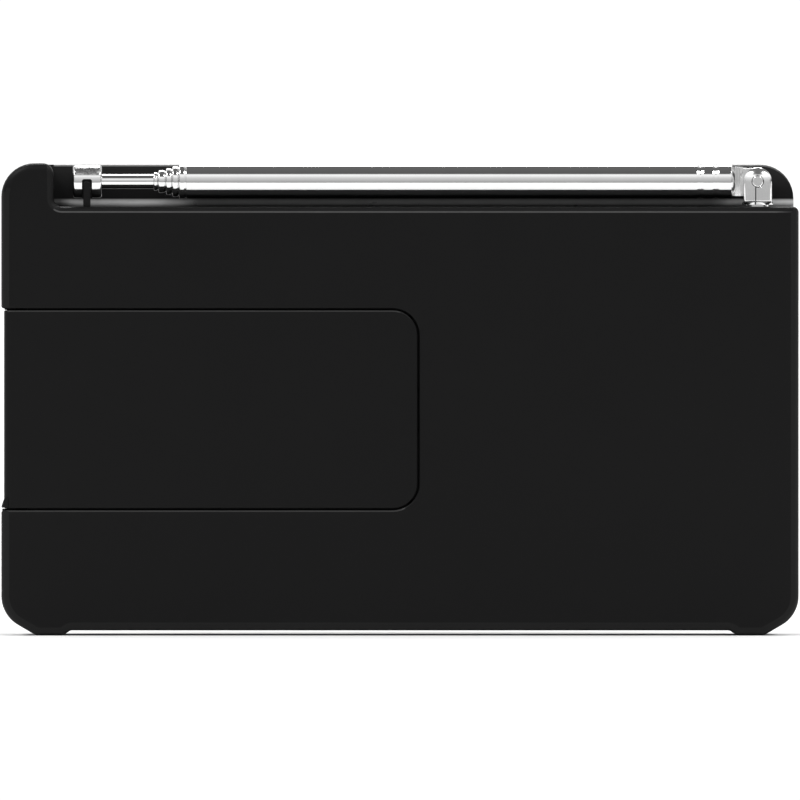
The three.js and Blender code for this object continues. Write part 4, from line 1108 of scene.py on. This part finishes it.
def add_aerial():
    slot = "aerial_chrome"
    for index in range(1, SECTIONS + 1):
        piece(aerial_section(index), f"aerial_section_{index}", f"antenna_section_{index}", slot, "chrome")
    piece(aerial_rod(), "aerial_rod", "antenna_rod", slot, "chrome")
    piece(aerial_tip(), "aerial_tip", "antenna_tip", slot, "knurled_chrome")
    piece(aerial_eye(), "aerial_eye", "antenna_eye", slot, "pivot_chrome")
    clevis = piece(aerial_clevis(), "aerial_clevis", "antenna_clevis", slot, "pivot_chrome")
    # Painted shade: the inner faces of the seam's slit are painted black.
    paint(clevis, "black_resin", lambda centre, normal: (
        abs(centre.x - PIVOT.x - SEAM_X) < 0.1 and centre.z < PIVOT.z + SEAM_TOP + 0.1
        and PIN_HIGH.y - 0.4 < centre.y < PIN_HIGH.y - 0.01))
    piece(aerial_pin(), "aerial_pivot_pin", "antenna_pivot_pin", slot, "pivot_chrome")


# ------------ front: grille, dial and controls
GRILLE = Sizes(hole=0.72, pitch=2.05, rim=2.2)
FLUTE_STEPS = 8
TUNING = Sizes(flutes=30, front_edge=0.6, back_edge=0.3, bore=3.3, bore_depth=1.25, inlay_gap=0.12)
TUNING_POINTER = Sizes(half=0.35, from_inlay=0.5, from_rim=0.7, corner=0.15)
DIMPLE = Sizes(radius=2.9, floor=2.2, rim_depth=0.12, depth=0.18, from_rim=4.2)
SCALE = Sizes(ticks=51, step=2.7, long=15.3, short=15.7, rim=16.6, heavy=0.11, light=0.06)
NUMBERS = Sizes(height=2.3, depth=0.02, radius=18.6, step=27)
UPPER_SCALE = (88, 92, 96, 100, 104, 108)
LOWER_SCALE = (53, 60, 80, 100, 130, 160)
VOLUME = Sizes(flutes=20, flute_depth=0.26, front_edge=0.5, back_edge=0.2, bore=2.3, bore_depth=1.15)
VOLUME_POINTER = Sizes(half=0.25, inner=4.75, outer=5.9, corner=0.1)
DISH = Sizes(rim=4.6, floor=3.6, rim_depth=0.22, depth=0.3)
THUMB_GROOVES = Sizes(at=(-1.2, 0, 1.2), half=0.25, side=0.15, depth=0.4)
SWITCH_STEM = Sizes(half_width=1.3, half_height=1.1)
LAMP = Sizes(dome=1.5, rounding=1.3, flange=1.9, flange_start=0.4, flange_end=1.2, legs=0.9, leg=0.25)
SOCKET = Sizes(barrel=2.75, barrel_length=2.2, hole=1.8, hole_depth=7.5)


def hexagonal_grid(reach, pitch):
    rows = int(reach / (pitch * math.sqrt(3) / 2)) + 1
    points = []
    for row in range(-rows, rows + 1):
        for column in range(-rows, rows + 1):
            x, z = pitch * (column + (row % 2) / 2), pitch * row * math.sqrt(3) / 2
            if math.hypot(x, z) < reach:
                points.append((x, z))
    return points


def grille_plate():
    radius, y0, y1 = SPEAKER_HIGH.x - SPEAKER.x, SPEAKER_LOW.y, SPEAKER_HIGH.y
    plate = cylinder("y", on_y(SPEAKER), radius, y0, y1, start_edge=0.2, sides=128)
    holes = []
    for x, z in hexagonal_grid(radius - GRILLE.rim, GRILLE.pitch):
        middle = (SPEAKER.x + x, 0, SPEAKER.z + z)
        holes.append(cylinder("y", middle, GRILLE.hole, y0 - 1, y1 + 1, sides=12))
    return cut(plate, merge(holes))


def fluted(centre, radius, flutes, start, end, start_edge, end_edge, depth=0.32):
    """A knob's body: a disc along y whose rim has narrow finger grooves."""
    layers = edge_layers(start, -1, start_edge)[::-1] + edge_layers(end, 1, end_edge)
    rings = []
    for offset, along in layers:
        ring = []
        for j in range(flutes * FLUTE_STEPS):
            angle = 2 * math.pi * j / (flutes * FLUTE_STEPS)
            groove = depth * (0.5 - 0.5 * math.cos(flutes * angle)) ** 2
            reach = radius - offset - groove
            ring.append((centre.x + reach * math.cos(angle), along, centre.z + reach * math.sin(angle)))
        rings.append(ring)
    return loft(rings)


def add_tuning():
    low, high = node_box("tuning_knob")
    inlay_low, inlay_high = node_box("tuning_knob_inlay")
    axis, radius, inlay = on_y(DIAL), high.x - DIAL.x, inlay_high.x - DIAL.x
    knob = fluted(DIAL, radius, TUNING.flutes, low.y, high.y, TUNING.front_edge, TUNING.back_edge)
    knob = cut(knob, cylinder("y", axis, TUNING.bore, low.y + TUNING.bore_depth, high.y + 1),
               cylinder("y", axis, inlay + TUNING.inlay_gap, low.y, inlay_high.y + 0.2,
                        start_edge=-RECESS_EDGE, sides=128))
    piece(knob, "tuning_dial_knob", "tuning_knob", "knob_plastic", "knob_plastic")
    disc = cylinder("y", axis, inlay, inlay_low.y, inlay_high.y, start_edge=0.2, sides=128)
    face, rim = inlay_low.y, DIMPLE.radius
    profile = [(0, face - 1), (rim, face - 1), (rim, face), (DIMPLE.floor, face + DIMPLE.rim_depth),
               (0, face + DIMPLE.depth)]
    dimple = lathe(profile, "y", (DIAL.x, 0, DIAL.z + inlay - DIMPLE.from_rim), 48)
    piece(cut(disc, dimple), "tuning_dial_inlay", "tuning_knob_inlay", "aluminium", "spun_aluminium")
    inner, outer = inlay + TUNING_POINTER.from_inlay, radius - TUNING_POINTER.from_rim
    add_pointer("tuning", DIAL, TUNING_POINTER.half, inner, outer, TUNING_POINTER.corner, low.y)


def add_pointer(control, middle, half_width, inner, outer, corner, front_y):
    """The white mark on a knob's face."""
    x0, x1 = middle.x - half_width, middle.x + half_width
    mark = prism(rectangle(x0, x1, middle.z + inner, middle.z + outer, corner), front_y - 0.03, front_y + 0.3)
    detail(mark, f"{control}_dial_pointer", f"{control}_control", "knob_plastic", "print_white")


def add_dial():
    axis, y0, y1 = on_y(DIAL), DIAL_LOW.y, DIAL_HIGH.y
    plate = cylinder("y", axis, DIAL_HIGH.x - DIAL.x, y0, y1, start_edge=0.12, sides=128)
    plate = cut(plate, cylinder("y", axis, TUNING_HOLE, y0 - 1, y1 + 1))
    piece(plate, "dial_face", "dial_plate", "dial_plastic", "dial_plastic")
    ticks = []
    for step in range(SCALE.ticks):
        inner, half = (SCALE.long, SCALE.heavy) if step % 10 == 0 else (SCALE.short, SCALE.light)
        for centre_angle in (90, -90):
            angle = math.radians(centre_angle + (step - SCALE.ticks // 2) * SCALE.step)
            ticks.append(tick(angle, inner, SCALE.rim, half))
    detail(merge(ticks), "dial_scale_marks", "radio", "dial_plastic", "print_white")
    add_scale_numbers("dial_numbers_upper", UPPER_SCALE, 90, "print_white")
    add_scale_numbers("dial_numbers_lower", LOWER_SCALE, -90, "print_red")


def tick(angle, inner, outer, half):
    """A printed line that points away from the dial's centre."""
    along, across = Vector((math.cos(angle), math.sin(angle))), Vector((-math.sin(angle), math.cos(angle)))
    middle = Vector((DIAL.x, DIAL.z))
    corners = [middle + along * inner - across * half, middle + along * outer - across * half,
               middle + along * outer + across * half, middle + along * inner + across * half]
    return prism([(*corner, 0) for corner in corners], DIAL_LOW.y - 0.02, DIAL_LOW.y + 0.05)


def add_scale_numbers(name, numbers, centre_angle, finish):
    """The scale's numbers, upright towards the rim on the upper half and towards the knob on the lower."""
    made = []
    side = 1 if centre_angle > 0 else -1
    for i, number in enumerate(numbers):
        angle = math.radians(centre_angle - side * (i - (len(numbers) - 1) / 2) * NUMBERS.step)
        text = bpy.data.curves.new(f"{name}_{number}", "FONT")
        text.body, text.size, text.extrude = str(number), NUMBERS.height * MM, NUMBERS.depth * MM
        text.align_x, text.align_y = "CENTER", "CENTER"
        item = new_object(f"{name}_{number}", text)
        out = Vector((math.cos(angle), 0, math.sin(angle)))
        item.location = (Vector((DIAL.x, DIAL_LOW.y, DIAL.z)) + out * NUMBERS.radius) * MM
        item.rotation_euler = (math.pi / 2, -(angle - side * math.pi / 2), 0)
        bpy.context.view_layer.update()
        mesh = bpy.data.meshes.new_from_object(item.evaluated_get(bpy.context.evaluated_depsgraph_get()))
        mesh.transform(item.matrix_world)
        bpy.data.objects.remove(item)
        made.append(new_object("solid", mesh))
    detail(merge(made), name, "radio", "dial_plastic", finish)


def add_volume():
    low, high = node_box("volume_knob")
    centre = (low + high) / 2
    axis, face = on_y(centre), low.y
    knob = fluted(centre, high.x - centre.x, VOLUME.flutes, face, high.y,
                  VOLUME.front_edge, VOLUME.back_edge, VOLUME.flute_depth)
    profile = [(0, face - 1), (DISH.rim, face - 1), (DISH.rim, face),
               (DISH.floor, face + DISH.rim_depth), (0, face + DISH.depth)]
    bore = cylinder("y", axis, VOLUME.bore, face + VOLUME.bore_depth, high.y + 1)
    knob = cut(knob, lathe(profile, "y", axis), bore)
    piece(knob, "volume_dial_knob", "volume_knob", "knob_plastic", "knob_plastic")
    mark = VOLUME_POINTER
    add_pointer("volume", centre, mark.half, mark.inner, mark.outer, mark.corner, face)


def add_band_switch():
    """The switch's cap, with three grooves for the thumb, on its stem."""
    low, high = node_box("band_switch_cap")
    middle = (low + high) / 2
    button = prism(rectangle(low.x, high.x, low.z, high.z, 0.4), low.y, FRONT_Y + BITE, start_edge=0.25)
    grooves = []
    half, side_y, low_y = THUMB_GROOVES.half, low.y + THUMB_GROOVES.side, low.y + THUMB_GROOVES.depth
    for at in THUMB_GROOVES.at:
        x0, x, x1 = middle.x + at - half, middle.x + at, middle.x + at + half
        corners = [(x0, low.y - 1, 0), (x1, low.y - 1, 0), (x1, side_y, 0), (x, low_y, 0.1), (x0, side_y, 0)]
        grooves.append(prism(corners, low.z - 1, high.z + 1, axis="z"))
    stem = block(middle.x - SWITCH_STEM.half_width, middle.x + SWITCH_STEM.half_width, FRONT_Y, high.y,
                 middle.z - SWITCH_STEM.half_height, middle.z + SWITCH_STEM.half_height)
    button = join(cut(button, *grooves), stem)
    piece(button, "band_switch_button", "band_switch_cap", "knob_plastic", "knob_plastic")


def add_lamp():
    low, high = node_box("power_led")
    centre = (low + high) / 2
    inner_y = FRONT_Y + FRONT_WALL
    dome, flange = LAMP.dome, LAMP.flange
    y0, y1 = inner_y + LAMP.flange_start, inner_y + LAMP.flange_end
    profile = [(0, low.y, 0), (dome, low.y, LAMP.rounding), (dome, y0, 0), (flange, y0, 0), (flange, y1, 0),
               (0, y1, 0)]
    legs = block(centre.x - LAMP.legs, centre.x + LAMP.legs, inner_y + 1, high.y,
                 centre.z - LAMP.leg, centre.z + LAMP.leg)
    lamp = join(turned(profile, "y", on_y(centre), 48), legs)
    piece(lamp, "power_lamp", "power_led", "led_lens", "led_lens")


def add_jack():
    """The headphone socket: a block with a steel barrel that looks out of the case's side."""
    low, high = node_box("headphone_jack")
    axis = Vector((0, jack_y(), (low.z + high.z) / 2))
    barrel_x = high.x - SOCKET.barrel_length
    body = block(low.x, barrel_x, low.y, high.y, low.z, high.z)
    body = join(body, cylinder("x", axis, SOCKET.barrel, barrel_x - 0.1, high.x, end_edge=0.2))
    hole = cylinder("x", axis, SOCKET.hole, barrel_x - SOCKET.hole_depth, high.x, end_edge=-CUT_EDGE)
    socket = piece(cut(body, hole), "headphone_socket", "headphone_jack", "black_resin", "black_resin")
    paint(socket, "steel", lambda centre, normal: (
        1.5 < math.hypot(centre.y - axis.y, centre.z - axis.z) < 2.8 and centre.x > barrel_x))


# ------------ cells and contacts
CELL = Sizes(radius=7.1, base=5.6, crimp=0.25, shoulder=1.5, disc=5.9, well=5.7, well_depth=1.35, nub=2.75)
SPRING = Sizes(turns=4.5, wire=0.35, sides=10, steps=260, wide=4.6, narrow=2.9, closed=0.13, rising=0.76)
PLATE_THICKNESS, PLATE_HALF = 0.4, 5.5
TAIL_END_Y = 2.4


def add_cell(name, node, positive_high):
    """One cell, with its steel ends, its printed sleeve and the shoulder that the sleeve is shrunk over."""
    low, high = node_box(node)
    middle, length = (low + high) / 2, high.x - low.x
    shoulder, rim = length - CELL.shoulder, CELL.radius - 0.3
    corners = [
        (0, 0, 0), (CELL.base, 0, 0.2), (CELL.base, CELL.crimp, 0), (rim, CELL.crimp, 0),
        (CELL.radius, CELL.crimp, 0.25), (CELL.radius, shoulder, 0.5),
        (CELL.disc, length - CELL.well_depth, 0.1), (CELL.well, shoulder, 0),
        (CELL.nub, shoulder, 0.15), (CELL.nub - 0.15, length, 0.5), (0, length, 0),
    ]
    if not positive_high:
        corners = [(radius, length - along, rounding) for radius, along, rounding in reversed(corners)]
    placed = [(radius, along + low.x, rounding) for radius, along, rounding in corners]
    body = turned(placed, "x", (0, middle.y, middle.z), 72)
    cell = piece(body, name, node, "cell_jacket", f"{name}_sleeve")
    paint(cell, "cell_steel", lambda at, normal: (
        math.hypot(at.y - middle.y, at.z - middle.z) < CELL.well + 0.05
        and (at.x < low.x + 2 or at.x > high.x - 2)))


def coil_spring(start, reach, centre_y, centre_z, toward):
    """A conical spring wound from wide to narrow, with a closed turn at each end."""
    rings = []
    for k in range(SPRING.steps + 1):
        share = k / SPRING.steps
        angle = 2 * math.pi * SPRING.turns * share
        radius = SPRING.wide + (SPRING.narrow - SPRING.wide) * share
        climbed = min(max((share - SPRING.closed) / SPRING.rising, 0), 1)
        rise = climbed * (reach - 2 * SPRING.wire) + SPRING.wire
        outwards = Vector((0, math.cos(angle), math.sin(angle)))
        middle = Vector((start + toward * rise, centre_y, centre_z)) + outwards * radius
        section = []
        for j in range(SPRING.sides):
            around = 2 * math.pi * j / SPRING.sides
            offset = outwards * math.cos(around) + Vector((math.sin(around), 0, 0))
            section.append(middle + offset * SPRING.wire)
        rings.append(section)
    return loft(rings)


def contact_plate(x0, x1, z0, z1):
    low, high = node_box("battery_link_contact")
    return prism(rectangle(low.y, high.y, z0, z1, 0.8), x0, x1, axis="x", start_edge=0.08, end_edge=0.08)


def add_contacts():
    """The sprung plate that links the cells at one end, and a contact with a tail for each at the other."""
    upper, lower = node_middle("battery_upper"), node_middle("battery_lower")
    low, high = node_box("battery_link_contact")
    front_x = low.x + PLATE_THICKNESS
    link = contact_plate(low.x, front_x, low.z, high.z)
    spring = coil_spring(front_x, high.x - front_x, upper.y - 0.1, upper.z, 1)
    piece(merge([link, spring]), "link_contact_spring", "battery_link_contact", "steel", "spring_steel")
    for node, name, cell in (("battery_positive_contact", "positive_contact_plate", upper),
                             ("battery_negative_contact", "negative_contact_spring", lower)):
        low, high = node_box(node)
        front_x = high.x - PLATE_THICKNESS
        plate = contact_plate(front_x, high.x, cell.z - PLATE_HALF, cell.z + PLATE_HALF)
        parts = [join(plate, block(front_x, high.x, low.y, TAIL_END_Y, cell.z - 1, cell.z + 1))]
        if cell == lower:
            parts.append(coil_spring(front_x, front_x - low.x, cell.y - 0.1, cell.z, -1))
        piece(merge(parts), name, node, "steel", "spring_steel")


# ------------ CAD nodes that keep their shape
KEPT = {
    "steel": ("case_screw_1", "case_screw_2", "antenna_screw", "antenna_washer", "antenna_solder_tag",
              "volume_potentiometer"),
    "grille_steel": ("speaker_frame",),
    "ferrite": ("speaker_magnet", "ferrite_rod"),
    "cone_paper": ("speaker_cone", "speaker_dust_cap"),
    "red_insulation": ("speaker_lead_1",),
    "black_resin": ("band_switch_body", "speaker_lead_2", "antenna_lead", "radio_chip", "amplifier_chip",
                    "electrolytic_capacitor_1", "electrolytic_capacitor_2"),
    "white_nylon": ("tuning_shaft", "tuning_capacitor", "ferrite_clip_1", "ferrite_clip_2"),
    "aluminium": ("volume_shaft", "if_transformer_1", "if_transformer_2", "if_transformer_3"),
    "coil_copper": ("ferrite_coil",),
    "board_laminate": ("main_board",),
}


def finish_kept_nodes():
    for finish, nodes in KEPT.items():
        for node in nodes:
            kept = frame["nodes"][node]
            kept.data.materials.clear()
            kept.data.materials.append(MATERIALS[finish])


# ------------ studio
WORLD_STRENGTH = 1.1
SIDES_BLEND = 0.25
FLAG_START, FLAG_FULL, FLAG_TONE = 0.86, 0.93, 0.1
# Tones of the studio's walls at heights in degrees, on the camera's side and behind the radio
CAMERA_TONES = [(0, 0.41), (7, 0.51), (20, 0.63), (27, 0.74), (34, 0.9), (41, 1.0), (47, 0.95), (53, 0.1),
                (85, 0.12)]
AWAY_TONES = [(0, 1.0), (46, 0.95), (54, 0.5), (62, 0.14), (85, 0.13)]
FLOOR_REACH = 80.0
FLOOR_NEAR = 0.45
CAMERA_DISTANCE = 5.2
CAMERA_ELEVATION = math.radians(0.2)
VIEW_WIDTH = 0.11936
VIEW_MIDDLE_Z = 0.03515


def add_camera():
    data = bpy.data.cameras.new("camera")
    data.sensor_width = 36
    data.lens = data.sensor_width * CAMERA_DISTANCE / VIEW_WIDTH
    data.clip_start, data.clip_end = 0.1, 500
    camera = new_object("camera", data)
    target = Vector((0, REAR_Y * MM, VIEW_MIDDLE_Z))
    back = Vector((0, math.cos(CAMERA_ELEVATION), math.sin(CAMERA_ELEVATION)))
    camera.location = target + back * CAMERA_DISTANCE
    camera.rotation_mode = "QUATERNION"
    camera.rotation_quaternion = (-back).to_track_quat("-Z", "Y")
    bpy.context.scene.camera = camera


def add_floor():
    """Paper that runs on far behind the radio, and ends on the camera's side where the picture ends."""
    corners = [(-FLOOR_REACH, -FLOOR_REACH, 0), (FLOOR_REACH, -FLOOR_REACH, 0),
               (FLOOR_REACH, FLOOR_NEAR, 0), (-FLOOR_REACH, FLOOR_NEAR, 0)]
    mesh = bpy.data.meshes.new("floor")
    mesh.from_pydata(corners, [], [(0, 1, 2, 3)])
    floor = new_object("floor", mesh)
    made = Shading(Roughness=0.9, Specular_IOR_Level=0.1)
    mesh.materials.append(made.finish(made.ramp(made.noise(0.4), [(0.3, grey(0.84)), (0.7, grey(0.86))])))


def add_light(name, direction, strength, angle):
    """A softbox far away, as a sun lamp of that apparent size in degrees."""
    data = bpy.data.lights.new(name, "SUN")
    data.energy, data.angle = strength, math.radians(angle)
    lamp = new_object(name, data)
    lamp.rotation_mode = "QUATERNION"
    lamp.rotation_quaternion = Vector(direction).to_track_quat("Z", "Y")


def add_world():
    """A studio with pale walls, dark overhead and at both sides, which the camera sees as pure white."""
    world = bpy.data.worlds.new("studio")
    bpy.context.scene.world = world
    world.use_nodes = True
    world.node_tree.nodes.clear()
    sky = NodeTree(world.node_tree)
    direction = sky.node("ShaderNodeTexCoord").outputs["Generated"]
    parts = sky.node("ShaderNodeSeparateXYZ", {"Vector": direction}).outputs
    behind, ahead = (
        sky.ramp(parts["Z"], [(math.sin(math.radians(height)), grey(tone)) for height, tone in stops])
        for stops in (AWAY_TONES, CAMERA_TONES))
    share = sky.range(parts["Y"], 0.0, 1.0, (-SIDES_BLEND, SIDES_BLEND), interpolation_type="SMOOTHSTEP")
    around = sky.mix(share, behind, ahead)
    sideways = sky.math("ABSOLUTE", parts["X"])
    flags = sky.range(sideways, 1.0, FLAG_TONE, (FLAG_START, FLAG_FULL))
    inputs = {0: around, "Scale": flags}
    shaded = sky.node("ShaderNodeVectorMath", inputs, operation="SCALE").outputs["Vector"]
    seen_directly = sky.node("ShaderNodeLightPath").outputs["Is Camera Ray"]
    colour = sky.mix(seen_directly, shaded, (1, 1, 1, 1))
    background = sky.node("ShaderNodeBackground", {"Color": colour, "Strength": WORLD_STRENGTH})
    sky.node("ShaderNodeOutputWorld", {"Surface": background.outputs["Background"]})


bpy.context.scene.view_settings.view_transform = "Standard"
add_camera()
add_floor()
add_world()
add_light("left_softbox", (0.5, 0.25, 0.85), 1.4, 16)
add_light("right_softbox", (-0.5, 0.3, 0.85), 1.3, 16)
add_light("back_softbox", (0, -0.7, 0.7), 1.1, 24)

add_rear_shell()
piece(front_shell(), "front_shell", "front_case", "case_plastic", "case_plastic")
add_battery_cover()
add_aerial()
piece(grille_plate(), "perforated_grille", "speaker_grille", "grille_steel", "grille_steel")
add_dial()
add_tuning()
add_volume()
add_band_switch()
add_lamp()
add_jack()
add_cell("upper_cell", "battery_upper", True)
add_cell("lower_cell", "battery_lower", False)
add_contacts()
finish_kept_nodes()
